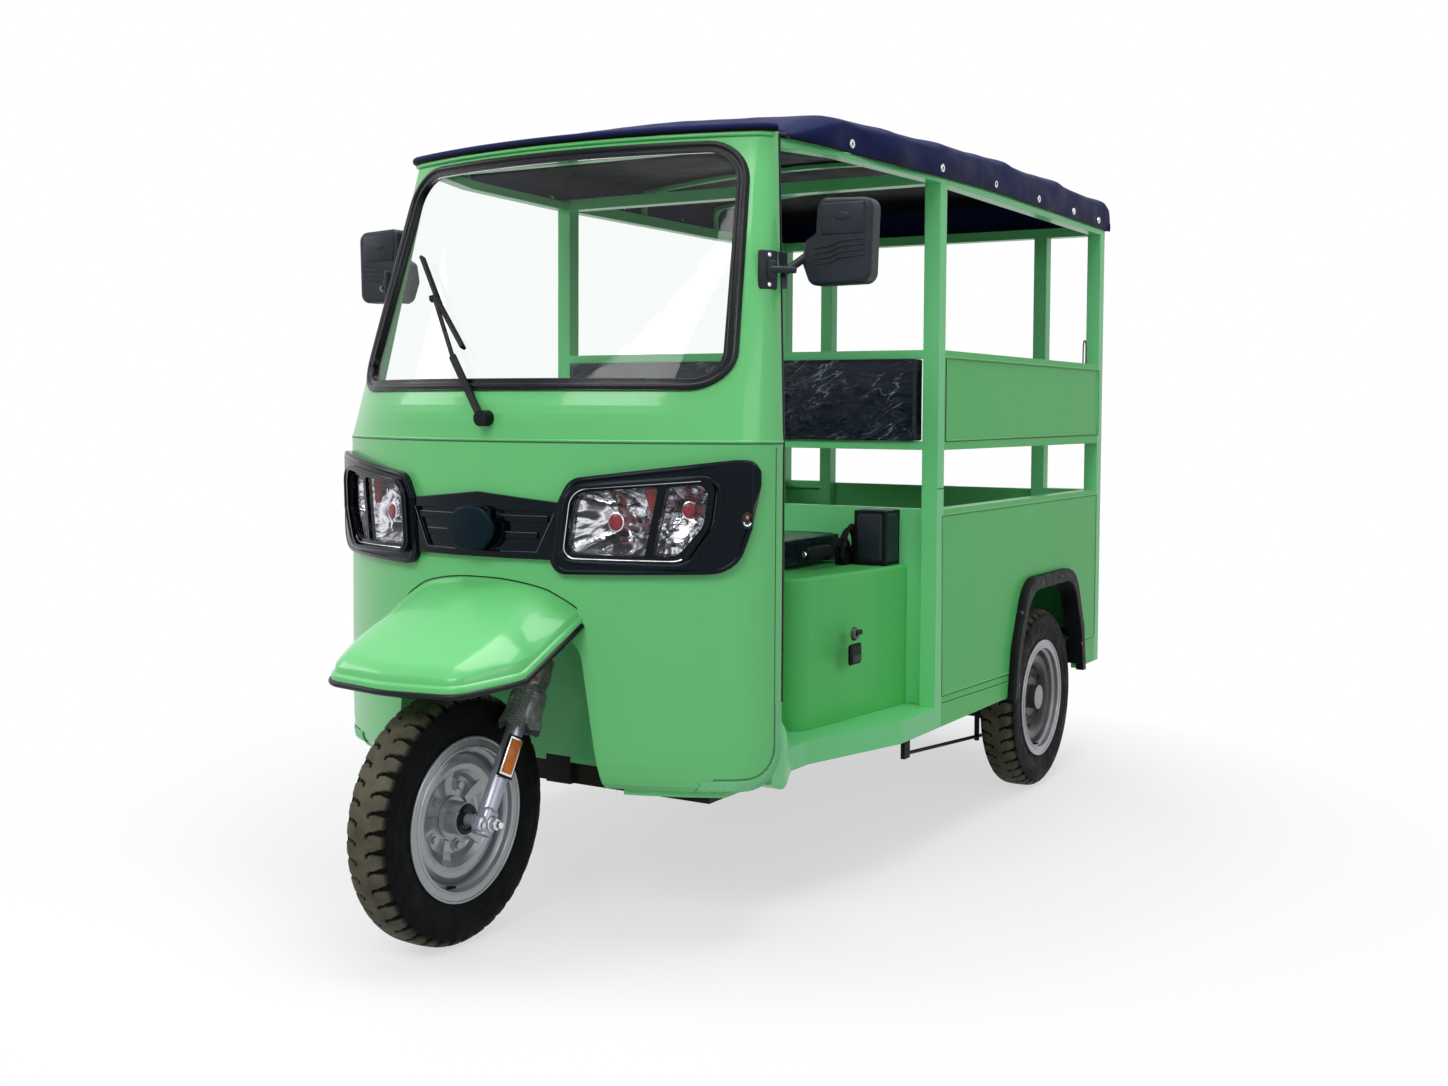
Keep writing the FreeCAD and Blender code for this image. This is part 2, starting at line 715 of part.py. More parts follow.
# The pressed disc from its rim weld to the hub: distance along the axle from disc_offset and radius below drop_r
DISC_FACE = [(-6, 2.5), (4, 11), (10, 20), (11, 30), (7, 41), (-2, 51), (-12, 58), (-16, 64)]
DISC_BACK = [(-21, 62), (-16, 55), (-5.5, 47), (2.5, 38.5), (6, 30), (5.5, 21.5), (0.5, 14.5), (-12, 2.5)]
ARM = [(-18.5, 96), (-9, 92), (-5, 72), (1, 54), (6, 42), (3.5, 40.5), (-14, 56.5), (-18.5, 63)]


def wheel_body(name, side):
    """One rim with its stepped barrel and pressed disc; side is +1 when its face looks along +X."""
    s = "" if side > 0 else "-"
    body = doc.addObject("PartDesign::Body", name)
    ring = sketch_on(body, name + "Ring", "XZ_Plane")
    half = [
        ("ledge_half - 5", "drop_r"),
        ("ledge_half", "bead_r - seat_gap"),
        ("rim_half - flange_thick", "bead_r - seat_gap"),
        ("rim_half - flange_thick", "flange_r"),
        ("rim_half", "flange_r"),
        ("rim_half", "bead_r - seat_gap - rim_wall"),
        ("ledge_half + 3", "bead_r - seat_gap - rim_wall"),
        ("ledge_half - 2", "drop_r - rim_wall"),
    ]
    polygon(ring, half + [(f"-({u})", v) for u, v in reversed(half)])
    turned(body, name + "Barrel", ring)
    disc = sketch_on(body, name + "DiscProfile", "XZ_Plane")
    face = [(f"{s}(disc_offset + {u})", f"drop_r - {v}") for u, v in DISC_FACE]
    back = [(f"{s}(disc_offset + {u})", f"drop_r - {v}") for u, v in DISC_BACK]
    middle = [(f"{s}(disc_offset - 16)", "hub_r - 2"), (f"{s}(disc_offset - 21)", "hub_r - 2")]
    polygon(disc, face + middle + back)
    turned(body, name + "Disc", disc)
    return body


def turned(body, name, sketch, angle="360"):
    """A sketch turned round the axle."""
    turn = body.newObject("PartDesign::Revolution", name)
    turn.Profile = sketch
    turn.ReferenceAxis = (sketch, ["H_Axis"])
    turn.Midplane = angle != "360"
    turn.setExpression("Angle", ref(angle))
    return turn


def tyre(name, label, x, y):
    """A plain ring of rubber with rounded shoulders, seated between the rim's flanges."""
    body = doc.addObject("PartDesign::Body", name)
    profile = sketch_on(body, name + "Profile", "XZ_Plane")
    bead = "rim_half - flange_thick - seat_gap"
    half = [
        (bead, "bead_r"),
        (bead, "flange_r + 1"),
        ("tyre_half - 2", "flange_r + 12"),
        ("tyre_half", "(flange_r + tyre_outer_r) / 2 - 4"),
        ("tyre_half - 1", "tyre_outer_r - 26"),
        ("tread_half + 3", "tyre_outer_r - 11"),
        ("tread_half - 8", "tyre_outer_r - 3"),
        ("tread_half - 24", "tyre_outer_r"),
    ]
    corners = half + [(f"-({u})", v) for u, v in reversed(half)]
    polygon(profile, corners)
    ring = body.newObject("PartDesign::Revolution", name + "Ring")
    ring.Profile = profile
    ring.ReferenceAxis = (profile, ["H_Axis"])
    ring.Angle = 360
    bind(body, Placement__Base__x=x, Placement__Base__y=y, Placement__Base__z="tyre_outer_r")
    return subpart(body, label)


def polar(body, name, feature_made, axis, count):
    """Repeats a feature round the axle."""
    pattern = body.newObject("PartDesign::PolarPattern", name)
    pattern.Originals = [feature_made]
    pattern.Axis = axis
    pattern.Angle = 360
    pattern.setExpression("Occurrences", ref(count))
    body.Tip = pattern
    return pattern


def hub_pad(body, name, radius, start, end, side, hole=None):
    """A round pad along the axle from start to end, which are measured outwards."""
    low = start if side > 0 else f"-({end})"
    sketch = sketch_on(body, name + "Circle", "YZ_Plane", low)
    circle(sketch, "0", "0", radius)
    if hole:
        circle(sketch, "0", "0", hole)
    pad = body.newObject("PartDesign::Pad", name)
    pad.Profile = sketch
    pad.setExpression("Length", ref(f"({end}) - ({start})"))
    return pad


def ring_of_pads(body, name, radius, ring_r, start, end, side, count, sides=0, turn=0):
    """Equal raised pads on a ring round the axle, the first one turned away from straight up."""
    low = start if side > 0 else f"-({end})"
    sketch = sketch_on(body, name + "Shape", "YZ_Plane", low)
    u, v = f"{ring_r} * sin({turn})", f"{ring_r} * cos({turn})"
    if sides:
        corners = []
        for i in range(sides):
            at = 360 / sides * i
            corners.append((f"{u} + {radius} * cos({at})", f"{v} + {radius} * sin({at})"))
        polygon(sketch, corners)
    else:
        circle(sketch, u, v, radius)
    pad = body.newObject("PartDesign::Pad", name)
    pad.Profile = sketch
    pad.setExpression("Length", ref(f"({end}) - ({start})"))
    return polar(body, name + "Ring", pad, (sketch, ["N_Axis"]), count)


def make_front_wheel():
    body = wheel_body("FrontRim", 1)
    hub_pad(body, "FrontHub", "hub_r", "-hub_half", "hub_half", 1, "axle_r + run_gap")
    face = "disc_offset - 17"
    hub_pad(body, "FrontCollar", "collar_r", face, f"{face} + 9", 1, "hub_r - 2")
    star = sketch_on(body, "FrontStarProfile", "XZ_Plane")
    polygon(star, [(f"disc_offset + {u}", f"drop_r - {v}") for u, v in ARM])
    arm = turned(body, "FrontStar", star, "arm_angle")
    polar(body, "FrontStarRing", arm, (star, ["H_Axis"]), "lobe_count")
    between = 180 / size("lobe_count")
    ring_of_pads(body, "FrontWasher", "washer_r", "nut_ring_r", face, f"{face} + 4", 1, "lobe_count", 0, between)
    ring_of_pads(body, "FrontNut", "nut_r", "nut_ring_r", face, f"{face} + 12", 1, "lobe_count", 6, between)
    body.Placement.Rotation = FreeCAD.Rotation(V(1, 0, 0), 16)
    bind(body, Placement__Base__y="front_axle_y", Placement__Base__z="tyre_outer_r")
    subpart(body, "front_rim")
    tyre("FrontTyre", "front_tyre", "0", "front_axle_y")


def make_rear_wheels():
    for name, label, side in (("RearLeft", "rear_left", 1), ("RearRight", "rear_right", -1)):
        x = "rear_track_half" if side > 0 else "-rear_track_half"
        body = wheel_body(name + "Rim", side)
        hub_pad(body, name + "Hub", "hub_r", "-hub_half + 6", "disc_offset + 8", side, "axle_r + 8 + run_gap")
        face = "disc_offset - 17"
        star = f"{face} + 12"
        hub_pad(body, name + "Plate", "hub_plate_r - 30", face, star, side, "axle_r + 8 + run_gap")
        ring_of_pads(body, name + "Lobe", "lobe_r", "hub_plate_r - 32", face, star, side, "lobe_count")
        ring_of_pads(body, name + "Nut", "nut_r", "hub_plate_r - 30", star, f"{star} + 10", side, "lobe_count", 6)
        hub_pad(body, name + "Cap", "hub_cap_r", star, f"{star} + hub_cap_rise", side)
        bind(
            body,
            Placement__Base__x=x,
            Placement__Base__y="rear_axle_y",
            Placement__Base__z="tyre_outer_r",
        )
        subpart(body, label + "_rim")
        tyre(name + "Tyre", label + "_tyre", x, "rear_axle_y")


def make_rear_axle():
    """Axle tube with the differential housing, the motor ahead of it and the stub that each wheel turns on."""
    y = "rear_axle_y"
    tube_half = "rear_track_half - hub_half + 6 - run_gap"
    stub_half = "rear_track_half + disc_offset - 24"
    ball = doc.addObject("Part::Sphere", "DiffHousing")
    bind(ball, Radius="diff_r", Placement__Base__y=y, Placement__Base__z="tyre_outer_r")
    things = [
        ball,
        cylinder("AxleTube", "axle_tube_r", f"2 * ({tube_half})", f"-({tube_half})", y, "tyre_outer_r", "x"),
        cylinder("AxleStubs", "axle_r + 8", f"2 * ({stub_half})", f"-({stub_half})", y, "tyre_outer_r", "x"),
        cylinder("Motor", "motor_r", "motor_long", "0", f"{y} - diff_r - motor_long + 20", "tyre_outer_r", "y"),
    ]
    for side, x in (("Left", "rear_track_half - hub_half - 4"), ("Right", "-rear_track_half + hub_half - 5")):
        things.append(cylinder(f"Backplate{side}", "bead_r - 36", "9", x, y, "tyre_outer_r", "x"))
    subpart(fuse("RearAxle", things), "rear_axle")


def arc_band(mid_y, low_z, half, rise, thick):
    """An upward-bowed strip in the YZ plane, thick millimetres deep."""

    def arc(lift, reach):
        return Part.Arc(V(0, mid_y - reach, low_z + rise + lift), V(0, mid_y, low_z + lift), V(0, mid_y + reach, low_z + rise + lift))

    lower, upper = arc(0, half).toShape(), arc(thick, half).toShape()
    a = Part.LineSegment(lower.Vertexes[0].Point, upper.Vertexes[0].Point).toShape()
    b = Part.LineSegment(lower.Vertexes[1].Point, upper.Vertexes[1].Point).toShape()
    return Part.Wire([lower, b, upper, a])


def make_leaf_springs():
    """Four leaves a side under the axle, with clamp, eyes and the hangers up to the rails."""
    mid_y = size("rear_axle_y")
    thick, wide, count = size("leaf_thick"), size("spring_wide"), int(size("leaf_count"))
    pack_top = size("tyre_outer_r") - size("axle_tube_r") - size("seat_gap")
    rail_low = size("cargo_floor_z") - size("rail_deep")
    sides = []
    for sign in (1, -1):
        x = sign * size("rail_x") - wide / 2
        solids = []
        for i in range(count):
            half = size("spring_half_long") * (1 - 0.2 * i)
            rise = size("spring_rise") * (half / size("spring_half_long")) ** 2
            low = pack_top - thick * (i + 1)
            leaf = Part.Face(arc_band(mid_y, low, half, rise, thick + 0.02)).extrude(V(wide, 0, 0))
            leaf.translate(V(x, 0, 0))
            solids.append(leaf)
        eye_z = pack_top - thick / 2 + size("spring_rise")
        for end in (-1, 1):
            y = mid_y + end * size("spring_half_long")
            solids.append(Part.makeCylinder(15, wide, V(x, y, eye_z), V(1, 0, 0)))
            solids.append(Part.makeBox(wide + 12, 22, rail_low - eye_z + 8 - 2 * size("seat_gap"), V(x - 6, y - 11, eye_z - 8)))
        low = pack_top - thick * count
        solids.append(Part.makeBox(wide + 24, 84, 12, V(x - 12, mid_y - 42, low - 9)))
        for end in (-1, 1):
            for edge in (-11, wide + 1):
                bolt = Part.makeCylinder(5, pack_top - low + 14, V(x + edge + 5, mid_y + end * 35, low - 14))
                solids.append(bolt)
        sides.append(solids[0].multiFuse(solids[1:]))
    subpart(feature("LeafSprings", Part.makeCompound(sides)), "leaf_springs")


def make_chassis():
    """Front rails under the driver's floor, raised rear rails, cross members, neck and head tube."""
    low = "body_bottom - seat_gap - rail_wide"
    things = []
    for side, x in (("Left", "rail_x - rail_wide / 2"), ("Right", "-rail_x - rail_wide / 2")):
        things.append(block(f"FrontRail{side}", x, "well_rear_y + 20", low, "rail_wide", "mid_post_y + 66 - well_rear_y", "rail_wide"))
        things.append(
            block(
                f"RearRail{side}",
                x,
                "mid_post_y + post + 4",
                "cargo_floor_z - rail_deep - seat_gap",
                "rail_wide",
                "rear_y - mid_post_y - 2 * post - 8",
                "rail_deep",
            )
        )
        things.append(block(f"Riser{side}", x, "mid_post_y + post + 4", low, "rail_wide", "40", "cargo_floor_z - body_bottom + rail_wide"))
    for i, y in enumerate(("well_rear_y + 20", "-430", "mid_post_y + post + 4")):
        things.append(block(f"LowCross{i}", "-rail_x", y, low, "2 * rail_x", "40", "rail_wide"))
    for i, y in enumerate(("mid_post_y + 300", "rear_y - post - 60")):
        things.append(block(f"HighCross{i}", "-rail_x", y, "cargo_floor_z - 40 - seat_gap", "2 * rail_x", "40", "40"))
    things.append(block("Neck", "-34", "well_rear_y + well_wall + seat_gap", low, "68", "46", "630"))
    head = rake_piece(cylinder("HeadTube", "head_outer_r", "head_top - head_low", "0", "0", "0"))
    bore = rake_piece(cylinder("HeadBore", "steerer_r + run_gap", "head_top - head_low + 60", "0", "0", "0"))
    for tube, start in ((head, "head_low"), (bore, "head_low - 30")):
        bind(
            tube,
            Placement__Base__y=f"front_axle_y + fork_offset * cos(rake) + ({start}) * sin(rake)",
            Placement__Base__z=f"tyre_outer_r - fork_offset * sin(rake) + ({start}) * cos(rake)",
        )
    things.append(head)
    subpart(cut("ChassisFrame", fuse("ChassisTubes", things), bore), "chassis_frame")


# The sill's front end seen from the side (Y from the doorway, Z from the cab's bottom) and from above
HEEL_SIDE = [(-8, 0, 0), (50, -22, 40), (196, -12, 18), (116, 58, 40), (28, 140, 0), (-8, 140, 0)]
HEEL_PLAN = [(-34, -8, 0), (-34, 196, 0), (0, 196, 30), (60, 56, 80), (60, -8, 0)]


def sill_heels():
    """The rounded pieces that lead from the doorway's lower corners into the sills."""
    waist, rear, low = size("sill_waist_half"), size("cab_rear_y"), size("cab_bottom")
    side = [(rear + y, low + z, r) for y, z, r in HEEL_SIDE]
    plan = [(waist + x, rear + y, r) for x, y, r in HEEL_PLAN]
    tall = prism(outline(plan, "xy", low - 60), V(0, 0, 260))
    heel = prism(outline(side, "yz", waist - 60), V(160, 0, 0)).common(tall)
    edges = [edge for edge in heel.Edges if edge.BoundBox.XMin > waist - 10]
    edges = [edge for edge in edges if edge.BoundBox.ZMax < low + 8 and edge.BoundBox.YLength > 20]
    heel = heel.makeFillet(10, edges)
    return heel, heel.mirror(V(), V(1, 0, 0))


def make_floors():
    """The driver's floor with its waisted sills, and the raised floor of the passenger box."""
    half, waist = size("body_half"), size("sill_waist_half")
    corners = [
        (-half, size("mid_post_y") + size("post"), 0),
        (-half, size("sill_full_y"), 60),
        (-waist, size("sill_waist_y"), 90),
        (-waist, -1000, 0),
        (waist, -1000, 0),
        (waist, size("sill_waist_y"), 90),
        (half, size("sill_full_y"), 60),
        (half, size("mid_post_y") + size("post"), 0),
    ]
    bottom, top = size("body_bottom"), size("driver_floor_z")
    slab = prism(outline(corners, "xy", bottom), V(0, 0, top - bottom))
    wall, gap = size("cab_wall"), size("seat_gap")
    rear_part = Part.makeBox(1400, 900, 400, V(-700, size("cab_rear_y") - SIDE_FLAT, 200))
    inside = cab_solid(wall + gap, size("cab_bottom"), size("crease_z"), open_by=0, over=40)
    slab = slab.common(rear_part.fuse(inside))
    deep = top - bottom - size("floor_skin")
    hollow = prism(grown(outline(corners, "xy", bottom), -26), V(0, 0, deep))
    ribs = [Part.makeBox(1400, 40, 60, V(-700, y, bottom)) for y in (size("cab_rear_y") - 40, size("seat_box_front_y"))]
    for sign in (1, -1):
        ribs.append(Part.makeBox(size("rail_wide"), 1400, 60, V(sign * size("rail_x") - size("rail_wide") / 2, -1200, bottom)))
    front_bay = Part.makeBox(1400, 600, 60, V(-700, size("cab_rear_y") - 640, bottom))
    for rib in ribs + [front_bay]:
        hollow = hollow.cut(rib)
    slab = slab.cut(hollow)
    well = Part.makeBox(
        2 * (size("well_half") + size("well_wall") + gap),
        600,
        400,
        V(-size("well_half") - size("well_wall") - gap, size("well_rear_y") + size("well_wall") + gap - 600, 200),
    )
    slab = slab.cut(well)
    neck = Part.makeBox(68 + 2 * gap, 46 + 2 * gap, 200, V(-34 - gap, size("well_rear_y") + size("well_wall"), 200))
    slab = slab.cut(neck)
    for sign in (1, -1):
        x = sign * (half - size("post") / 2) - size("post") / 2 - gap
        slab = slab.cut(Part.makeBox(size("post") + 2 * gap, size("post") + 2 * gap, 200, V(x, size("mid_post_y") - gap, 200)))
    for heel in sill_heels():
        slab = slab.fuse(heel)
    subpart(feature("FloorPan", slab.removeSplitter()), "floor_pan")

    base = block(
        "CargoSlab",
        "-body_half + side_wall + seat_gap",
        "mid_post_y + post + seat_gap",
        "cargo_floor_z",
        "2 * (body_half - side_wall - seat_gap)",
        "rear_y - mid_post_y - 2 * post - 2 * seat_gap",
        "cargo_floor_thick",
    )
    reach = "tyre_outer_r + 24"
    wells = []
    for side, x in (("Left", "rear_track_half - tyre_half - 26"), ("Right", "-body_half")):
        wells.append(
            block(
                f"WheelHole{side}",
                x,
                f"rear_axle_y - ({reach})",
                "cargo_floor_z - 20",
                "body_half - rear_track_half + tyre_half + 26",
                f"2 * ({reach})",
                "80",
            )
        )
    subpart(cut("CargoFloor", base, fuse("WheelHoles", wells)), "cargo_floor")


def make_driver_place():
    """Seat box with tapered sides and rounded front corners, its cushion, and the battery inside."""
    body = doc.addObject("PartDesign::Body", "DriverSeatBox")
    rear = "mid_post_y + post / 2 - seat_gap"
    plan = sketch_on(body, "SeatBoxPlan", "XY_Plane", "driver_floor_z + seat_gap")
    polygon(
        plan,
        [
            ("-seat_box_half", rear),
            ("-seat_box_front_half", "seat_box_front_y"),
            ("seat_box_front_half", "seat_box_front_y"),
            ("seat_box_half", rear),
        ],
    )
    pad = body.newObject("PartDesign::Pad", "SeatBoxWalls")
    pad.Profile = plan
    pad.setExpression("Length", ref("seat_box_top - driver_floor_z - seat_gap"))
    doc.recompute()
    upright = []
    for i, edge in enumerate(pad.Shape.Edges, start=1):
        a, b = edge.Vertexes[0].Point, edge.Vertexes[-1].Point
        if abs(a.z - b.z) > 10 and a.y < size("seat_box_front_y") + 1:
            upright.append(f"Edge{i}")
    rounds = body.newObject("PartDesign::Fillet", "SeatBoxCorners")
    rounds.Base = (pad, upright)
    rounds.setExpression("Radius", ref("seat_box_corner_r"))
    doc.recompute()
    hollow = sketch_on(body, "SeatBoxHollow", "XY_Plane", "driver_floor_z")
    polygon(
        hollow,
        [
            ("-seat_box_half + seat_box_wall", "mid_post_y + post"),
            ("-seat_box_front_half + seat_box_wall + 22", "seat_box_front_y + seat_box_wall"),
            ("seat_box_front_half - seat_box_wall - 22", "seat_box_front_y + seat_box_wall"),
            ("seat_box_half - seat_box_wall", "mid_post_y + post"),
        ],
    )
    pocket = body.newObject("PartDesign::Pocket", "SeatBoxRoom")
    pocket.Profile = hollow
    pocket.Reversed = True
    pocket.setExpression("Length", ref("seat_box_top - driver_floor_z - seat_box_wall"))
    doc.recompute()
    crown = []
    for i, edge in enumerate(pocket.Shape.Edges, start=1):
        box = edge.BoundBox
        outside = box.YMin < size("mid_post_y") and box.ZMin > size("seat_box_top") - 0.1
        flat_rear = box.YMin > size("mid_post_y") - 1
        if outside and not flat_rear:
            crown.append(f"Edge{i}")
    top_round = body.newObject("PartDesign::Fillet", "SeatBoxCrown")
    top_round.Base = (pocket, crown)
    top_round.Radius = 9
    subpart(body, "driver_seat_box")

    cushion = block(
        "DriverSeatCushion",
        "-seat_half",
        "mid_post_y - 24 - seat_deep",
        "seat_box_top + seat_gap",
        "2 * seat_half",
        "seat_deep",
        "seat_thick",
    )
    subpart(cushion, "driver_seat_cushion")
    battery = block("BatteryPack", "-seat_half", "mid_post_y - 379", "driver_floor_z + seat_gap", "2 * seat_half", "330", "230")
    subpart(battery, "battery_pack")

    panel = block(
        "PartitionPanel",
        "-body_half + post + seat_gap",
        "mid_post_y + post / 2",
        "driver_floor_z + seat_gap",
        "2 * (body_half - post - seat_gap)",
        "side_wall",
        "box_top - driver_floor_z",
    )
    subpart(panel, "partition_panel")
    rest = block(
        "FrontBackrest",
        "-body_half + post + 14",
        "mid_post_y - 18",
        "panel_low + rail_high + seat_gap",
        "2 * (body_half - post - 14)",
        "54",
        "panel_top - panel_low - 2 * rail_high - 2 * seat_gap",
    )
    subpart(rest, "front_backrest")


def upright_post(name, x, y, low="body_bottom", top="roof_rail_z"):
    return block(name, x, y, low, "post", "post", f"{top} - ({low})")


def make_hoops():
    """Square-tube hoops: one behind the driver, one at the rear with the doorway's inner posts."""
    outer = "body_half - post"
    span = "2 * body_half"
    things = []
    for side, x in (("Left", outer), ("Right", "-body_half")):
        things.append(upright_post(f"MidPost{side}", x, "mid_post_y"))
    for name, low in (("MidRailTop", "panel_top - rail_high"), ("MidRailLow", "panel_low")):
        things.append(block(name, "-body_half", "mid_post_y", low, span, "post", "rail_high"))
    things.append(block("MidHeader", "-body_half", "mid_post_y", "roof_rail_z", span, "post", "roof_rail_high"))
    subpart(fuse("MidHoop", things), "mid_hoop")

    things = []
    y = "rear_y - post"
    for side, x in (("Left", outer), ("Right", "-body_half")):
        things.append(upright_post(f"RearPost{side}", x, y))
    for side, x in (("Left", "inner_post_x - post / 2"), ("Right", "-inner_post_x - post / 2")):
        things.append(upright_post(f"InnerPost{side}", x, y))
    things.append(block("RearHeader", "-body_half", y, "roof_rail_z", span, "post", "roof_rail_high"))
    things.append(block("RearSill", "-body_half", y, "body_bottom", span, "post", "cargo_floor_z + cargo_floor_thick - body_bottom"))
    for side, x in (("Left", "inner_post_x"), ("Right", "-body_half + post - 1")):
        wide = "body_half - post - inner_post_x + 1"
        things.append(block(f"CornerPanel{side}", x, "rear_y - 30", "body_bottom", wide, "22", "box_top - body_bottom"))
        things.append(block(f"CornerRail{side}", x, y, "box_top - 25", wide, "post", "25"))
    subpart(fuse("RearHoop", things), "rear_hoop")


def arch_corners(half, top, mid_y, low):
    """A wheel arch: upright legs that lean in, a broad round top."""
    return [
        (mid_y - half, low, 0),
        (mid_y - half * 0.93, low + (top - low) * 0.42, 90),
        (mid_y - half * 0.66, top - 6, 110),
        (mid_y + half * 0.66, top - 6, 110),
        (mid_y + half * 0.93, low + (top - low) * 0.42, 90),
        (mid_y + half, low, 0),
    ]


def make_sides():
    """Lower side walls with the wheel arch cut out, the dark flares round it, and the upper panels."""
    mid_y = size("rear_axle_y") + size("arch_shift")
    low, top = size("body_bottom"), size("box_top")
    start = size("mid_post_y") + size("post") + size("seat_gap")
    end = size("rear_y") - size("post") - size("seat_gap")
    half, wall = size("body_half"), size("side_wall")
    opening = arch_corners(size("flare_half") - size("flare_band") + 4, size("flare_top") - size("flare_band") + 4, mid_y, low - 5)
    arch = prism(outline(opening, "yz", half - 100), V(200, 0, 0))
    sheet_metal = Part.makeBox(wall, end - start, top - low, V(half - wall, start, low))
    rail = Part.makeBox(40, end - start, 25, V(half - 40, start, top - 25))
    wall_left = sheet_metal.fuse(rail).cut(arch)
    left = feature("BodySideLeft", wall_left)
    subpart(left, "body_side_left")
    subpart(mirrored("BodySideRight", left), "body_side_right")

    band_out = outline(arch_corners(size("flare_half"), size("flare_top"), mid_y, low - 4), "yz", half + size("seat_gap"))
    band_in = outline(
        arch_corners(size("flare_half") - size("flare_band"), size("flare_top") - size("flare_band"), mid_y, low - 10),
        "yz",
        half + size("seat_gap") - 60,
    )
    proud = size("flare_proud")
    flare = prism(band_out, V(proud, 0, 0))
    edges = [edge for edge in flare.Edges if edge.BoundBox.XMin > half + proud - 0.5 and edge.BoundBox.ZMax > low]
    flare = flare.makeFillet(9, edges)
    flare = flare.cut(prism(band_in, V(200, 0, 0)))
    subpart(feature("ArchFlares", Part.makeCompound([flare, flare.mirror(V(), V(1, 0, 0))])), "arch_flares")

    things = []
    for side, x in (("Left", "body_half - 24"), ("Right", "-body_half")):
        y, long = "mid_post_y + post + seat_gap", "rear_y - mid_post_y - 2 * post - 2 * seat_gap"
        for name, z in (("Top", "panel_top - rail_high"), ("Low", "panel_low")):
            things.append(block(f"SideRail{name}{side}", x, y, z, "24", long, "rail_high"))
        inset = "body_half - 21" if side == "Left" else "-body_half + 3"
        things.append(block(f"SidePanel{side}", inset, y, "panel_low + 2", "18", long, "panel_top - panel_low - 4"))
    subpart(fuse("SideBackrests", things), "side_backrests")


def canopy_wire(y, half, hem, fold, crown):
    """A cross-section of the roof cover: hem, rounded fold and a crowned top."""
    r = min(30.0, (fold - hem) * 0.7)
    return Part.Wire(
        [
            Part.LineSegment(V(-half, y, hem), V(-half, y, fold - r)).toShape(),
            Part.Arc(V(-half, y, fold - r), V(-half + r * 0.29, y, fold - r * 0.29), V(-half + r, y, fold)).toShape(),
            Part.Arc(V(-half + r, y, fold), V(0, y, crown), V(half - r, y, fold)).toShape(),
            Part.Arc(V(half - r, y, fold), V(half - r * 0.29, y, fold - r * 0.29), V(half, y, fold - r)).toShape(),
            Part.LineSegment(V(half, y, fold - r), V(half, y, hem)).toShape(),
            Part.LineSegment(V(half, y, hem), V(-half, y, hem)).toShape(),
        ]
    )


def canopy_stations():
    """Along the roof: place, half width, hem, fold and crown rise."""
    full, front = size("canopy_half"), size("canopy_front_half")
    hem_f, hem_m, hem_r = size("hem_front"), size("hem_mid"), size("hem_rear")
    fold_f, fold_m, fold_r = size("fold_front"), size("fold_mid"), size("fold_rear")
    rise = size("crown_rise")
    y_front, y_corner = size("cab_top_front_y") - 20, size("cab_top_rear_y")
    y_mid, y_rear = size("mid_post_y"), size("canopy_rear_y")
    return [
        (y_front, front - 20, hem_f + 4, fold_f, 3),
        (y_corner, front, hem_f, fold_f + 5, 12),
        (y_corner + 170, front + (full - front) * 0.5, hem_m + 4, fold_m - 8, rise * 0.7),
        (y_mid - 230, front + (full - front) * 0.86, hem_m, fold_m - 2, rise),
        (y_mid, full, hem_m + 4, fold_m + 2, rise * 1.1),
        (y_mid + 390, full, hem_r, fold_r - 1, rise),
        (y_rear - 250, full, hem_r, fold_r, rise),
        (y_rear, full, hem_r - 2, fold_r - 9, rise * 0.8),
    ]


def canopy_solid(inset, drop):
    wires = []
    for i, (y, half, hem, fold, rise) in enumerate(canopy_stations()):
        last = i == len(canopy_stations()) - 1
        place = y - inset if last else y
        wires.append(canopy_wire(place, half - inset, hem - drop, fold - inset, fold + rise - inset))
    return Part.makeLoft(wires, True, True)


def canopy_plan(inset):
    """Keeps the roof's front edge on the cab's own plan curve."""
    front = cab_wire(size("cab_top"), inset - 12, 0, 1500)
    curve = Part.Face(front).extrude(V(0, 0, 500))
    rest = Part.makeBox(1400, 2400, 500, V(-700, size("cab_top_rear_y") - 0.01, 1500))
    return curve.fuse(rest)


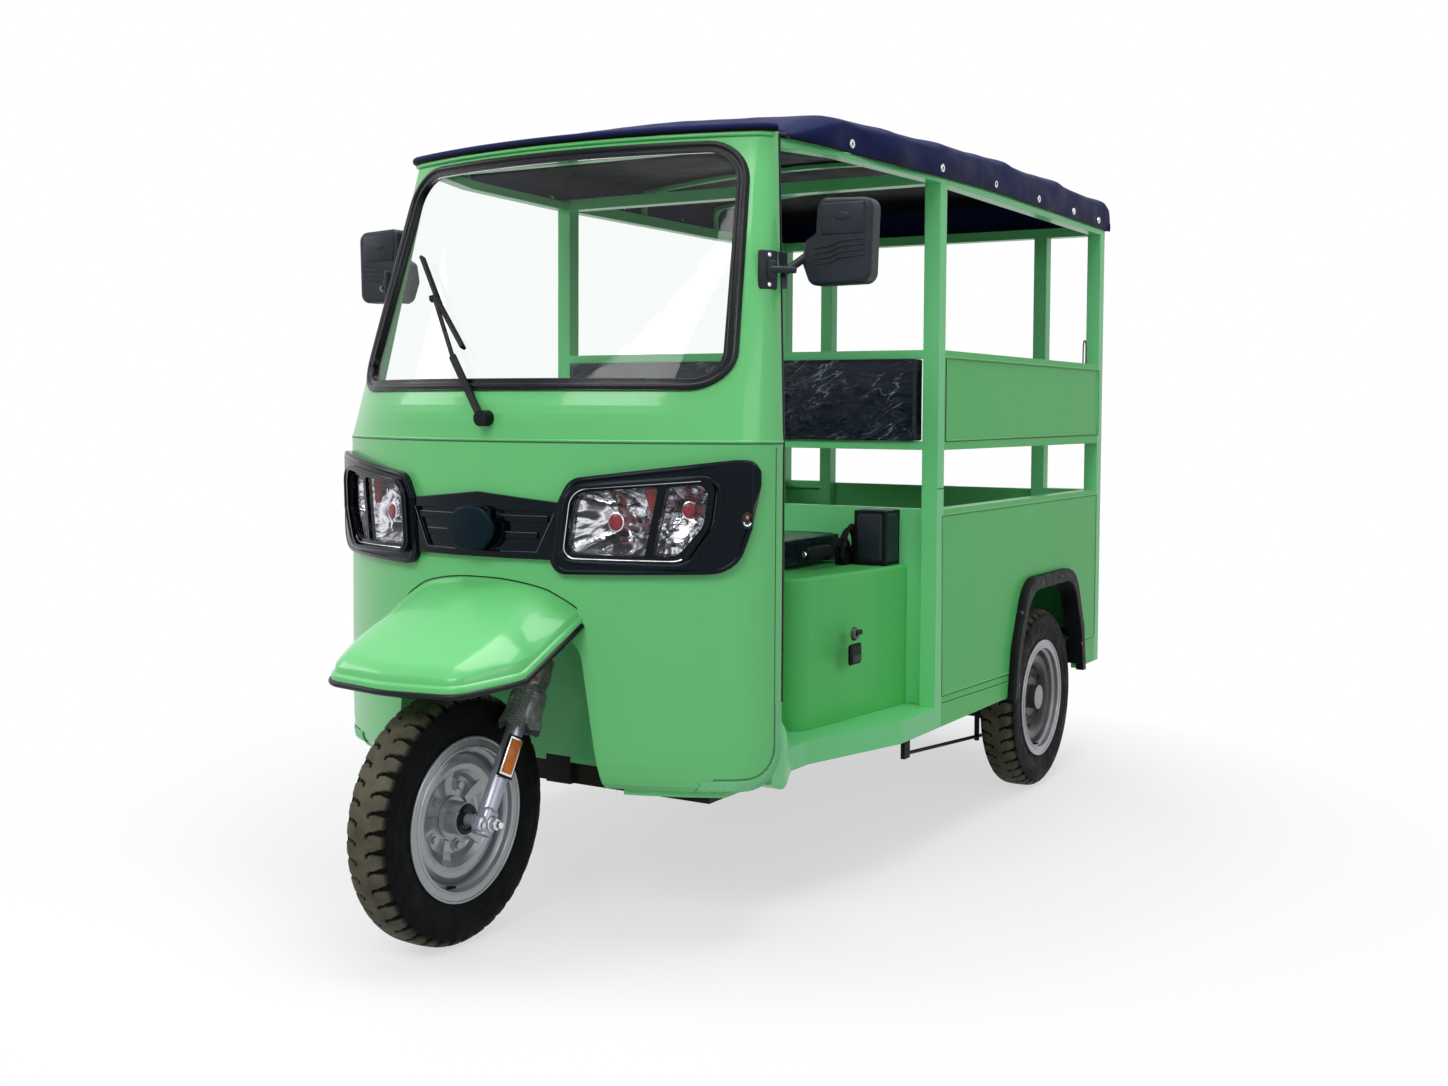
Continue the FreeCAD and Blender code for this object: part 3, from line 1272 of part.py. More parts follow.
def make_roof():
    thick = size("canopy_thick")
    outer = canopy_solid(0, 0).common(canopy_plan(0))
    inner = canopy_solid(thick, 12).common(canopy_plan(thick))
    subpart(feature("RoofCanopy", outer.cut(inner)), "roof_canopy")

    gap, wide, bow = size("seat_gap"), size("bow_wide"), size("bow_thick")
    rail_z, rail_high = size("roof_rail_z"), size("roof_rail_high")
    half, post = size("body_half"), size("post")
    mid_y, rear_y = size("mid_post_y"), size("rear_y")
    front_half, front_y = size("cab_top_half") - size("cab_wall") - gap, size("cab_top_rear_y")
    solids = []
    for sign in (1, -1):
        x = half - 34 if sign > 0 else -half
        solids.append(Part.makeBox(34, rear_y - mid_y - 2 * post - 2 * gap, rail_high, V(x, mid_y + post + gap, rail_z)))
    front_rails = []
    bend_y, bend_half = front_y + 200, (half + size("canopy_front_half")) / 2
    for sign in (1, -1):
        corners = [
            (sign * (front_half - 14), front_y - 30, 0),
            (sign * front_half, front_y - 8, 0),
            (sign * front_half, front_y + gap, 0),
            (sign * bend_half, bend_y, 0),
            (sign * half, mid_y - gap, 0),
            (sign * (half - 34), mid_y - gap, 0),
            (sign * (bend_half - 34), bend_y, 0),
            (sign * (front_half - 34), front_y + gap, 0),
            (sign * (front_half - 34), front_y - 30, 0),
        ]
        front_rails.append(prism(outline(corners, "xy", rail_z), V(0, 0, rail_high - 8)))
    hoop = Part.makeBox(2 * front_half - 28, 30, rail_high - 8, V(-front_half + 14, front_y - 30, rail_z))
    skin = canopy_solid(thick + gap, 30)
    for y in (front_y + 200, mid_y + 430, mid_y + 860):
        band = Part.makeBox(2 * half, wide, 200, V(-half, y, rail_z + 8))
        lower = canopy_solid(thick + gap + bow, 60)
        arch = band.common(skin).cut(lower)
        if y < mid_y:
            front_rails.append(arch)
        else:
            solids.append(arch)
    front = hoop.multiFuse(front_rails)
    rear = solids[0].multiFuse(solids[1:])
    subpart(feature("RoofFrame", Part.makeCompound([front, rear])), "roof_frame")


def make_benches():
    """A bench along each side over the rear wheels: top board, inner wall and end boards."""
    wall, x = size("bench_wall"), size("bench_x")
    floor, top = size("cargo_floor_z") + size("cargo_floor_thick"), size("bench_top")
    start = size("mid_post_y") + size("post") + 30
    end = size("rear_y") - size("post") - 12
    outer = size("body_half") - size("side_wall") - size("seat_gap")
    gap = size("seat_gap")
    benches, cushions = [], []
    for sign in (1, -1):
        box = Part.makeBox(outer - x, end - start, top - floor - gap, V(x, start, floor + gap))
        room = Part.makeBox(outer - x, end - start - 2 * wall, top - floor - wall, V(x + wall, start + wall, floor - 1))
        bench = box.cut(room)
        soft = Part.makeBox(outer - x - 2, end - start - 10, size("bench_cushion_thick"), V(x, start + 5, top + gap))
        if sign < 0:
            bench = bench.mirror(V(), V(1, 0, 0))
            soft = soft.mirror(V(), V(1, 0, 0))
        benches.append(bench)
        cushions.append(soft)
    subpart(feature("SideBenches", Part.makeCompound(benches)), "side_benches")
    subpart(feature("BenchCushions", Part.makeCompound(cushions)), "bench_cushions")


def make_fender():
    """Beak over the front wheel: a crowned top that falls to the tip, with an upright lip all round."""
    gap, wall = size("seat_gap"), size("fender_wall")
    tip, side_y, root_y = size("fender_tip_y"), size("fender_side_y"), size("cab_front_y") + 130

    def plan(inset, low, high):
        half, rear_half = size("fender_half") - inset, size("fender_rear_half") - inset
        r = size("fender_corner_r") - inset
        corners = [
            (-rear_half, root_y, 0),
            (-half, side_y, 120),
            (-half + 62, tip + inset + 18, r * 0.6),
            (0, tip + inset, 300),
            (half - 62, tip + inset + 18, r * 0.6),
            (half, side_y, 120),
            (rear_half, root_y, 0),
        ]
        return prism(outline(corners, "xy", low), V(0, 0, high - low))

    def crown(drop, side_in):
        wires = []
        for y, top, half, fall in (
            (root_y, size("fender_crown_rear") + 30, size("fender_rear_half"), size("fender_shoulder")),
            (size("cab_front_y"), size("fender_crown_rear"), size("fender_rear_half"), size("fender_shoulder")),
            (side_y, (size("fender_crown_rear") + size("fender_crown_front")) / 2 + 2, size("fender_half"), size("fender_shoulder") * 0.62),
            (tip - 10, size("fender_crown_front") - 8, size("fender_half"), 18),
        ):
            w = half + 8 - side_in
            z = top - drop
            edge = z - fall
            wires.append(
                Part.Wire(
                    [
                        Part.Arc(V(-w, y, edge), V(-w * 0.62, y, z - fall * 0.26), V(-w * 0.3, y, z - 3)).toShape(),
                        Part.Arc(V(-w * 0.3, y, z - 3), V(0, y, z), V(w * 0.3, y, z - 3)).toShape(),
                        Part.Arc(V(w * 0.3, y, z - 3), V(w * 0.62, y, z - fall * 0.26), V(w, y, edge)).toShape(),
                        Part.LineSegment(V(w, y, edge), V(w, y, 400)).toShape(),
                        Part.LineSegment(V(w, y, 400), V(-w, y, 400)).toShape(),
                        Part.LineSegment(V(-w, y, 400), V(-w, y, edge)).toShape(),
                    ]
                )
            )
        return Part.makeLoft(wires, True, True)

    def below(lift):
        """Everything under the fender's lower edge."""
        rear, mid, front = size("fender_low_rear") + lift, size("fender_low_mid") + lift, size("fender_low_front") + lift
        y_mid = (size("cab_front_y") + tip) / 2
        slope = (mid - rear) / (y_mid - size("cab_front_y"))
        y0, y1 = root_y + 20, tip - 60
        wire = Part.makePolygon(
            [
                V(-400, y0, rear + slope * (y0 - size("cab_front_y"))),
                V(-400, y_mid, mid),
                V(-400, y1, front - (mid - front) * 0.2),
                V(-400, y1, 300),
                V(-400, y0, 300),
                V(-400, y0, rear + slope * (y0 - size("cab_front_y"))),
            ]
        )
        return Part.Face(wire).extrude(V(800, 0, 0))

    cab = cab_solid(-gap, size("cab_bottom"), size("crease_z"))
    outer = crown(0, 0).common(plan(0, 480, 900))
    inner = crown(wall, wall).common(plan(wall, 470, 900))
    shell = outer.cut(inner).cut(below(0)).cut(cab)
    subpart(feature("FrontFender", shell), "front_fender")

    proud, high = size("trim_proud"), size("trim_high")
    rim = plan(-proud, 470, 700).cut(plan(wall + 2, 460, 710))
    rim = rim.common(below(-gap)).cut(below(-gap - high)).cut(cab)
    subpart(feature("FenderTrim", rim), "fender_trim")


def make_dash():
    """Shelf under the windscreen, inside the cab."""
    inside = cab_solid(size("cab_wall") + size("seat_gap"), 900, size("crease_z") + 60, open_by=0)
    shelf = Part.makeBox(1200, 165, 22, V(-600, size("cab_front_y") - 5, 1052))
    apron = Part.makeBox(1200, 16, 94, V(-600, size("cab_front_y") + 144, 980))
    subpart(feature("DashPanel", shelf.fuse(apron).common(inside)), "dash_panel")


def make_rear_door():
    """Side-hung door between the inner rear posts, with two hinge knuckles and a latch."""
    low = "cargo_floor_z + cargo_floor_thick + door_gap"
    x_right = "-inner_post_x + post / 2 + door_gap"
    wide = "2 * inner_post_x - post - 2 * door_gap"
    things = [block("DoorLeaf", x_right, "rear_y - door_thick", low, wide, "door_thick", f"box_top - 4 - ({low})")]
    for i, z in enumerate(("cargo_floor_z + 90", "box_top - 130")):
        things.append(block(f"Strap{i}", "inner_post_x - post / 2 - 130", "rear_y - 1", z, "122", "5", "34"))
        knuckle = cylinder(f"Knuckle{i}", "pin_r + 4", "34", "inner_post_x - post / 2 - door_gap / 2", "rear_y + pin_r + 4", z)
        things.append(knuckle)
    things.append(block("LatchPlate", "-inner_post_x + post / 2 + 16", "rear_y - 1", "box_top - 190", "44", "5", "80"))
    things.append(block("LatchHandle", "-inner_post_x + post / 2 + 30", "rear_y + 3", "box_top - 160", "16", "16", "22"))
    pin_holes = cylinder("PinHole", "pin_r + run_gap", "600", "inner_post_x - post / 2 - door_gap / 2", "rear_y + pin_r + 4", "cargo_floor_z")
    subpart(cut("RearDoor", fuse("DoorPieces", things), pin_holes), "rear_door")
    hinge = []
    for i, z in enumerate(("cargo_floor_z + 90", "box_top - 130")):
        x = "inner_post_x - post / 2 - door_gap / 2"
        hinge.append(cylinder(f"HingePin{i}", "pin_r", "34 + 2 * 20", x, "rear_y + pin_r + 4", f"{z} - 20"))
        for j, lift in enumerate(("- 20", "+ 34 + run_gap")):
            hinge.append(block(f"HingeEar{i}{j}", f"{x} - 4", "rear_y + seat_gap", f"{z} {lift}", "post / 2 + 14", "2 * pin_r + 6", "19"))
    subpart(fuse("DoorHinges", hinge), "door_hinges")


def make_rear_fittings():
    lamps = []
    for side, x in (("Left", "(inner_post_x + body_half) / 2 - 30"), ("Right", "-(inner_post_x + body_half) / 2 - 48")):
        lamps.append(block(f"TailLamp{side}", x, "rear_y - 8 + seat_gap", "box_top - 230", "78", "28", "150"))
    subpart(fuse("TailLamps", lamps), "tail_lamps")
    things = [block("StepPlate", "-280", "rear_y - 130", "body_bottom - 50", "560", "145", "12")]
    for side, x in (("Left", "250"), ("Right", "-262")):
        things.append(block(f"StepArm{side}", x, "rear_y - post", "body_bottom - 50", "12", "post", "50 - seat_gap"))
    subpart(fuse("RearStep", things), "rear_step")


def make_mirrors():
    """Dark moulded mirror heads on short arms from the windscreen pillars."""
    x, y, z = size("mirror_x"), size("mirror_y"), size("mirror_z")
    wide, high, deep = size("mirror_wide"), size("mirror_high"), size("mirror_deep")
    corners = [
        (x - wide / 2 + 8, z - high / 2, 24),
        (x - wide / 2 - 12, z - high * 0.22, 14),
        (x - wide / 2 - 4, z + high * 0.02, 14),
        (x - wide / 2 + 22, z + high * 0.1, 10),
        (x - wide / 2 + 26, z + high / 2, 22),
        (x + wide / 2 + 4, z + high / 2 - 6, 24),
        (x + wide / 2 - 2, z - high / 2 + 2, 24),
    ]
    head = prism(outline(corners, "xz", y), V(0, deep, 0))
    rims = [edge for edge in head.Edges if edge.BoundBox.YMax < y + 0.1]
    head = head.makeFillet(10, rims)
    root = V(size("cab_top_half") + 40, size("cab_rear_y") + 70, 1396)
    elbow = V(x - wide / 2 - 2, y + deep * 0.4, z - high * 0.14)
    arm = Part.makeCylinder(9, (elbow - root).Length, root, elbow - root)
    plate = Part.makeBox(9, 30, 76, V(root.x - 9, root.y - 8, root.z - 30))
    left = head.fuse(arm).fuse(plate)
    cab = cab_solid(-size("seat_gap"), size("crease_z"), size("cab_top"))
    left = left.cut(cab)
    piece = feature("MirrorLeft", left)
    subpart(piece, "mirror_left")
    subpart(mirrored("MirrorRight", piece), "mirror_right")


def cab_point(x, z, proud):
    """A point ahead of the cab's outer surface, measured along Y."""
    probe = Part.makeLine(V(x, FRONT_Y, z), V(x, size("cab_front_y") + 260, z))
    curve = Part.Face(cab_wire(z, 0, 0, z))
    hit = probe.common(curve)
    return V(x, hit.BoundBox.YMin - proud, z)


def strip(start, end, wide, thick):
    """A flat bar from one point to another, its broad face towards the front."""
    along = end - start
    bar = Part.makeBox(wide, thick, along.Length, V(-wide / 2, -thick / 2, 0))
    bar.Placement = FreeCAD.Placement(start, FreeCAD.Rotation(V(0, 0, 1), along))
    return bar


def make_wiper():
    """Pivot on the cowl, a bent arm that stands off the glass, and its blade."""
    gap = size("seat_gap")
    x, z = 19, 1088
    pivot_at = cab_point(x, z, 0)
    pivot = Part.makeCylinder(17, 60, V(x, pivot_at.y - 26, z), V(0, 1, 0))
    pivot = pivot.cut(cab_solid(-gap, size("crease_z"), size("cab_top")))
    root = V(x, pivot_at.y - 22, z)
    knee, tip = cab_point(-103, 1221, 24), cab_point(-232, 1357, 20)
    low, middle, high = cab_point(-88, 1239, 13), cab_point(-210, 1339, 13), cab_point(-340, 1458, 13)
    blade = strip(low, middle, 7, 14).fuse(strip(middle, high, 7, 14))
    arm = strip(root, knee, 15, 7).fuse(strip(knee, tip, 8, 6))
    yoke = strip(tip + V(0, -4, 0), tip + V(-3, 8, -4), 20, 12)
    subpart(feature("Wiper", pivot.multiFuse([arm, blade, yoke])), "wiper")


def make_small_controls():
    """Handbrake lever with the dark box beside the seat, and the brake pedal."""
    lever = [
        block("LeverBase", "seat_half + 25", "mid_post_y - 99", "seat_box_top + seat_gap", "26", "90", "34"),
        block("LeverArm", "seat_half + 30", "mid_post_y - 219", "seat_box_top + 34", "14", "170", "14"),
        cylinder("LeverGrip", "14", "120", "seat_half + 37", "mid_post_y - 279", "seat_box_top + 41", "y"),
        block("SideBox", "seat_half + 62", "mid_post_y + post / 2 - 86 - seat_gap", "seat_box_top + seat_gap", "86", "86", "138"),
        block("Pedal", "92", "well_rear_y + well_wall + 46", "driver_floor_z + seat_gap", "44", "70", "16"),
    ]
    subpart(fuse("DriverControls", lever), "driver_controls")


def make_brake_rod():
    """Rod of the parking brake behind the left sill, sloping down to the rear and hung from two brackets."""
    x = size("rear_track_half") - size("tyre_half") - 44
    floor, front, rear = size("cargo_floor_z") - size("seat_gap"), size("mid_post_y") + 147, size("rear_axle_y") - 85
    start, end = V(x, front, floor - 199.7), V(x, rear, floor - 249.7)
    slope = (end.z - start.z) / (rear - front)
    pieces = [Part.makeCylinder(5, (end - start).Length, start, end - start)]
    for y, deep in ((front - 6, 34), (rear - 70, 10)):
        low = start.z + slope * (y + deep / 2 - front) - 12
        pieces.append(Part.makeBox(12, deep, floor - low, V(x - 6, y, low)))
    subpart(feature("BrakeLinkage", pieces[0].multiFuse(pieces[1:])), "brake_linkage")


make_chassis()
make_cab()
make_windscreen()
make_lamps()
make_wheel_well()
make_fender()
make_dash()
make_floors()
make_driver_place()
make_hoops()
make_sides()
make_roof()
make_benches()
make_rear_door()
make_rear_fittings()
make_mirrors()
make_wiper()
make_small_controls()
make_brake_rod()
make_rear_axle()
make_leaf_springs()
make_fork()
make_handlebar()
make_front_wheel()
make_rear_wheels()
doc.recompute()

for thing in doc.Objects:
    if "Invalid" in thing.State or "Error" in thing.State:
        raise RuntimeError(f"{thing.Name} ({thing.Label}) failed: {thing.State}")
for piece in SUBPARTS:
    if piece.Shape.isNull() or not piece.Shape.isValid():
        raise RuntimeError(f"{piece.Label} has no valid shape")

os.makedirs("parts", exist_ok=True)
for piece in SUBPARTS:
    piece.Shape.exportStep(f"parts/{piece.Label}.step")
    box = piece.Shape.BoundBox
    print(f"{piece.Label}: {len(piece.Shape.Solids)} solids, {piece.Shape.Volume / 1000:.0f} cm3, "
          f"x {box.XMin:.0f} {box.XMax:.0f}, y {box.YMin:.0f} {box.YMax:.0f}, z {box.ZMin:.0f} {box.ZMax:.0f}")
print(len(SUBPARTS), "pieces")
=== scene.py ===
"""Looks of the three-wheeled passenger rickshaw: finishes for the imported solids, tyres with tread,
padded seats, the canvas roof, lamp insides and small fittings, with the photograph's camera and light.

Metres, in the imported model's frame: the vehicle faces -Y, +X is its own left side, +Z is up.
"""

import json
from math import atan2, copysign, cos, exp, hypot, pi, radians, sin, sqrt, tan
import bmesh
import bpy
from mathutils import Matrix, Vector, noise


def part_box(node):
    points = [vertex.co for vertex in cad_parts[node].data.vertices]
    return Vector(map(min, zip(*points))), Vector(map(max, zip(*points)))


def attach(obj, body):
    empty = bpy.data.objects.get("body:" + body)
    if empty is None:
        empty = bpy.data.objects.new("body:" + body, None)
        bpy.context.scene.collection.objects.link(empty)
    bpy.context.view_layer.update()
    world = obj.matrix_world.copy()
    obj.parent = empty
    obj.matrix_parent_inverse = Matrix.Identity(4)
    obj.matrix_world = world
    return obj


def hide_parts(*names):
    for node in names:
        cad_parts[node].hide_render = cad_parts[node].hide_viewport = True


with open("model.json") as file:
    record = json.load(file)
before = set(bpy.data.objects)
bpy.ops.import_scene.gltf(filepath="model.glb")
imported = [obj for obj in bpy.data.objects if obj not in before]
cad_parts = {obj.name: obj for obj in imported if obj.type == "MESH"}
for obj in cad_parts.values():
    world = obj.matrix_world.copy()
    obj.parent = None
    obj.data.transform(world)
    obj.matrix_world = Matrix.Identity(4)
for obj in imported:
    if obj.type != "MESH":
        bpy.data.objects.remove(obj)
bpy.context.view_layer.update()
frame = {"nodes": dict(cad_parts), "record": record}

NODES = frame["nodes"]
SIDES = ((1, "left"), (-1, "right"))
UP = Vector((0, 0, 1))

# Helpers


def mesh_object(name, vertices, faces, smooth=40):
    """A mesh object at the origin; edges sharper than smooth degrees stay sharp."""
    mesh = bpy.data.meshes.new(name)
    mesh.from_pydata([tuple(v) for v in vertices], [], faces)
    mesh.validate()
    return add_object(name, mesh, smooth)


def placed(name, data):
    obj = bpy.data.objects.new(name, data)
    bpy.context.scene.collection.objects.link(obj)
    return obj


def add_object(name, mesh, smooth=40):
    obj = placed(name, mesh)
    soften(obj, smooth)
    return obj


def final_mesh(obj):
    """A new mesh of the object with its modifiers applied."""
    return bpy.data.meshes.new_from_object(obj.evaluated_get(bpy.context.evaluated_depsgraph_get()))


def soften(obj, degrees):
    mesh = obj.data
    mesh.polygons.foreach_set("use_smooth", [True] * len(mesh.polygons))
    mesh.set_sharp_from_angle(angle=radians(degrees))


def from_bmesh(name, bm, smooth=40):
    mesh = bpy.data.meshes.new(name)
    bmesh.ops.recalc_face_normals(bm, faces=bm.faces)
    bm.to_mesh(mesh)
    bm.free()
    return add_object(name, mesh, smooth)


def quads(rows, row, loop=False, closed=False):
    """Faces between rows of points; loop joins the last row to the first, closed joins each row's ends."""
    faces = []
    for i in range(rows if loop else rows - 1):
        j = (i + 1) % rows
        for k in range(row if closed else row - 1):
            m = (k + 1) % row
            faces.append((i * row + k, i * row + m, j * row + m, j * row + k))
    return faces


def turn_outwards(mesh, merge=None, upwards=False):
    """Makes the faces look outwards, or upwards for an open sheet, after merging near points."""
    bm = bmesh.new()
    bm.from_mesh(mesh)
    if merge:
        bmesh.ops.remove_doubles(bm, verts=bm.verts, dist=merge)
    bmesh.ops.recalc_face_normals(bm, faces=bm.faces)
    if upwards and sum(f.normal.z * f.calc_area() for f in bm.faces) < 0:
        bmesh.ops.reverse_faces(bm, faces=bm.faces)
    bm.to_mesh(mesh)
    bm.free()


def thicken(obj, thickness, offset=-1):
    wall = obj.modifiers.new("wall", "SOLIDIFY")
    wall.thickness = thickness
    wall.offset = offset


def subdivide(obj):
    smooth = obj.modifiers.new("smooth", "SUBSURF")
    smooth.levels = smooth.render_levels = 1


def dress(obj, look, slot=None, body="chassis"):
    """Gives a piece its finish, by name or as a material, and the body it rides on; its slot is not used."""
    obj.data.materials.clear()
    obj.data.materials.append(LOOK[look] if isinstance(look, str) else look)
    slot = slot or look
    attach(obj, body)


def join(name, objects, smooth=40):
    """One mesh object out of several, with their modifiers applied."""
    bm = bmesh.new()
    for obj in objects:
        mesh = final_mesh(obj)
        mesh.transform(obj.matrix_world)
        bm.from_mesh(mesh)
        bpy.data.meshes.remove(mesh)
    for obj in objects:
        bpy.data.objects.remove(obj)
    mesh = bpy.data.meshes.new(name)
    bm.to_mesh(mesh)
    bm.free()
    return add_object(name, mesh, smooth)


def apply_modifiers(obj, smooth):
    mesh = final_mesh(obj)
    obj.modifiers.clear()
    obj.data = mesh
    soften(obj, smooth)


def rounded_box(name, low, high, radius, segments=2):
    bm = bmesh.new()
    bmesh.ops.create_cube(bm, size=1)
    low, high = Vector(low), Vector(high)
    size, middle = high - low, (high + low) / 2
    for v in bm.verts:
        v.co = Vector((v.co.x * size.x, v.co.y * size.y, v.co.z * size.z)) + middle
    bmesh.ops.bevel(bm, geom=bm.edges[:], offset=radius, segments=segments, affect="EDGES", profile=0.5)
    return from_bmesh(name, bm)


def lathe(name, profile, axis_point, axis, segments=48, smooth=35, closed=False):
    """Turns a profile of (distance along the axis, radius) about an axis; a closed profile makes a ring."""
    turn = UP.rotation_difference(Vector(axis)).to_matrix()
    vertices = []
    for along, radius in profile:
        for k in range(segments):
            a = 2 * pi * k / segments
            p = turn @ Vector((radius * cos(a), radius * sin(a), along))
            vertices.append(p + Vector(axis_point))
    faces = quads(len(profile), segments, closed, True)
    last = (len(profile) - 1) * segments
    if not closed and profile[0][1] > 1e-6:
        faces.append(tuple(range(segments))[::-1])
    if not closed and profile[-1][1] > 1e-6:
        faces.append(tuple(range(last, last + segments)))
    obj = mesh_object(name, vertices, faces, smooth)
    turn_outwards(obj.data, 1e-6)
    soften(obj, smooth)
    return obj


def sweep(name, points, radius, sides, closed=False):
    """A round bar along points."""
    curve = bpy.data.curves.new(name, "CURVE")
    curve.dimensions = "3D"
    curve.bevel_depth = radius
    curve.bevel_resolution = sides // 4
    curve.use_fill_caps = True
    spline = curve.splines.new("POLY")
    spline.points.add(len(points) - 1)
    for place, point in zip(spline.points, points):
        place.co = (*point, 1)
    spline.use_cyclic_u = closed
    source = placed(name, curve)
    mesh = final_mesh(source)
    bpy.data.objects.remove(source)
    return add_object(name, mesh, 50)


def wobble(x, y, z):
    """Smooth noise at a point, the same in each run."""
    return noise.noise(Vector((x, y, z)))


def rounded(corners, inset, steps, spacing):
    """Points round a closed outline of (u, v, radius) corners, moved inwards by inset."""
    count = len(corners)
    points = []
    for i, (u, v, r) in enumerate(corners):
        here = Vector((u, v))
        before = (Vector(corners[i - 1][:2]) - here).normalized()
        after = (Vector(corners[(i + 1) % count][:2]) - here).normalized()
        if not r:
            points.append(here)
            continue
        half = before.angle(after) / 2
        middle = here + (before + after).normalized() * (r / sin(half))
        a, b = here + before * (r / tan(half)) - middle, here + after * (r / tan(half)) - middle
        start, turn = atan2(a.y, a.x), a.angle_signed(b)
        for k in range(steps + 1):
            angle = start - turn * k / steps
            points.append(middle + Vector((cos(angle), sin(angle))) * r)
    dense = []
    for i, a in enumerate(points):
        b = points[(i + 1) % len(points)]
        pieces = max(1, int((b - a).length / spacing))
        dense += [a.lerp(b, k / pieces) for k in range(pieces) if (b - a).length > 1e-7 or k == 0]
    if not inset:
        return dense
    area = sum(a.cross(b) for a, b in zip(dense, dense[1:] + dense[:1]))
    moved = []
    for i, here in enumerate(dense):
        along = (dense[(i + 1) % len(dense)] - dense[i - 1]).normalized()
        inwards = Vector((-along.y, along.x)) * copysign(1, area)
        moved.append(here + inwards * inset)
    return moved


def on_side(corners, side):
    """An outline drawn for the left side, mirrored for the right one."""
    return corners if side > 0 else [(-u, v, r) for u, v, r in reversed(corners)]


CAB_BOTTOM, CREASE, COWL, SCREEN_FOOT, CAB_TOP = 0.322, 1.040, 1.082, 1.150, 1.705
CAB_HALF = 0.577


def cab_plan(z):
    """Front, half width, rear edge and corner radius of the cab's plan curve at one height."""
    if z <= CREASE:
        low = max(0.0, 1 - (z - CAB_BOTTOM) / 0.090)
        tuck = 0.028 * (1 - sqrt(max(0.0, 1 - low * low)))
        return -1.031 + tuck, CAB_HALF - tuck * 0.5, -0.756, 0.120
    slope = 0.275 / (CAB_TOP - (COWL + SCREEN_FOOT) / 2)
    if z <= COWL:
        front = -1.031
    elif z < SCREEN_FOOT:
        front = -1.031 + slope * (z - COWL) ** 2 / (2 * (SCREEN_FOOT - COWL))
    else:
        front = -0.756 - slope * (CAB_TOP - z)
    rise = (z - CREASE) / (CAB_TOP - CREASE)
    return front, CAB_HALF - 0.083 * rise, -0.756 + 0.121 * rise, 0.120 - 0.078 * rise


def cab_arcs(z):
    """Corner centre, corner radius, front arc centre and radius of the plan curve."""
    front, half, rear, corner = cab_plan(z)
    cx, cy = half - corner, rear - 0.008
    gap = front - cy
    broad = (cx * cx + gap * gap - corner * corner) / (-2 * gap - 2 * corner)
    return cx, cy, corner, front + broad, broad


def cab_y(x, z):
    """Where the cab's front surface lies at a distance from the middle and a height."""
    cx, cy, corner, middle, broad = cab_arcs(z)
    reach = hypot(cx, cy - middle)
    x = abs(x)
    if x <= cx / reach * broad:
        return middle - sqrt(broad ** 2 - x * x)
    return cy - sqrt(max(0.0, corner ** 2 - (x - cx) ** 2))


def on_cab(x, z):
    return Vector((x, cab_y(x, z), z))


def cab_out(x, z):
    """Outward direction of the cab's surface."""
    d = 0.002
    across = on_cab(x + d, z) - on_cab(x - d, z)
    up = on_cab(x, z + d) - on_cab(x, z - d)
    return across.cross(up).normalized()


def off_cab(x, z, lift):
    """A point off the cab's front surface, a lift away from it."""
    return on_cab(x, z) + cab_out(x, z) * lift


def cab_ring(z, proud):
    """Points along the cab's plan curve from its left rear edge round the front to the right."""
    corner_steps, front_steps = 8, 28
    cx, cy, corner, middle, broad = cab_arcs(z)
    end = atan2(cy - middle, cx)
    points = [Vector((cx + corner + proud, cab_plan(z)[2], z))]
    for i in range(corner_steps + 1):
        a = end * i / corner_steps
        points.append(Vector((cx + (corner + proud) * cos(a), cy + (corner + proud) * sin(a), z)))
    half = list(points)
    for i in range(1, front_steps):
        a = end - (pi + 2 * end) * i / front_steps
        points.append(Vector(((broad + proud) * cos(a), middle + (broad + proud) * sin(a), z)))
    return points + [Vector((-q.x, q.y, q.z)) for q in reversed(half)]


def cab_side(side, y, z, proud):
    """A point of the cab's flank or corner round by its place along the vehicle and its height."""
    cx, cy, corner, middle, broad = cab_arcs(max(z, CAB_BOTTOM))
    back = max(0.0, cy - y)
    if back > (cy - middle) / hypot(cx, cy - middle) * -corner:
        return Vector((side * sqrt((broad + proud) ** 2 - (middle - y) ** 2), y, z))
    return Vector((side * (cx + sqrt((corner + proud) ** 2 - back * back)), y, z))


RAKE_COS, RAKE_SIN = 0.8660254, 0.5
STEER_AXES = ((1, 0, 0), (0, RAKE_COS, -RAKE_SIN), (0, RAKE_SIN, RAKE_COS))


def steer(u, v, w):
    """A point of the raked steering frame: across, ahead-to-back and up along the steering axis."""
    return Vector((u, -1.098359 + RAKE_COS * v + RAKE_SIN * w, 0.242 - RAKE_SIN * v + RAKE_COS * w))


def box_on(name, centre, axes, size, radius, segments=2):
    """A rounded box by its middle, three directions and three sizes."""
    low = Vector([-c / 2 for c in size])
    made = rounded_box(name, low, -low, radius, segments)
    turn = Matrix([Vector(a).normalized() for a in axes]).transposed().to_4x4()
    made.data.transform(Matrix.Translation(Vector(centre)) @ turn)
    return made


def disc_on(name, centre, out, profile, segments=28, stretch=(1, 1), smooth=35):
    """A turned piece that stands on a surface, its profile along the outward direction."""
    made = lathe(name, profile, (0, 0, 0), (0, 0, 1), segments, smooth)
    made.data.transform(Matrix.Diagonal((stretch[0], stretch[1], 1, 1)))
    out = Vector(out).normalized()
    across = UP.cross(out).normalized()
    up = out.cross(across)
    made.data.transform(Matrix.Translation(Vector(centre)) @ Matrix([across, up, out]).transposed().to_4x4())
    return made


# Finishes

SOCKETS = {"gloss": "Specular IOR Level", "coat": "Coat Weight", "coat_roughness": "Coat Roughness"}


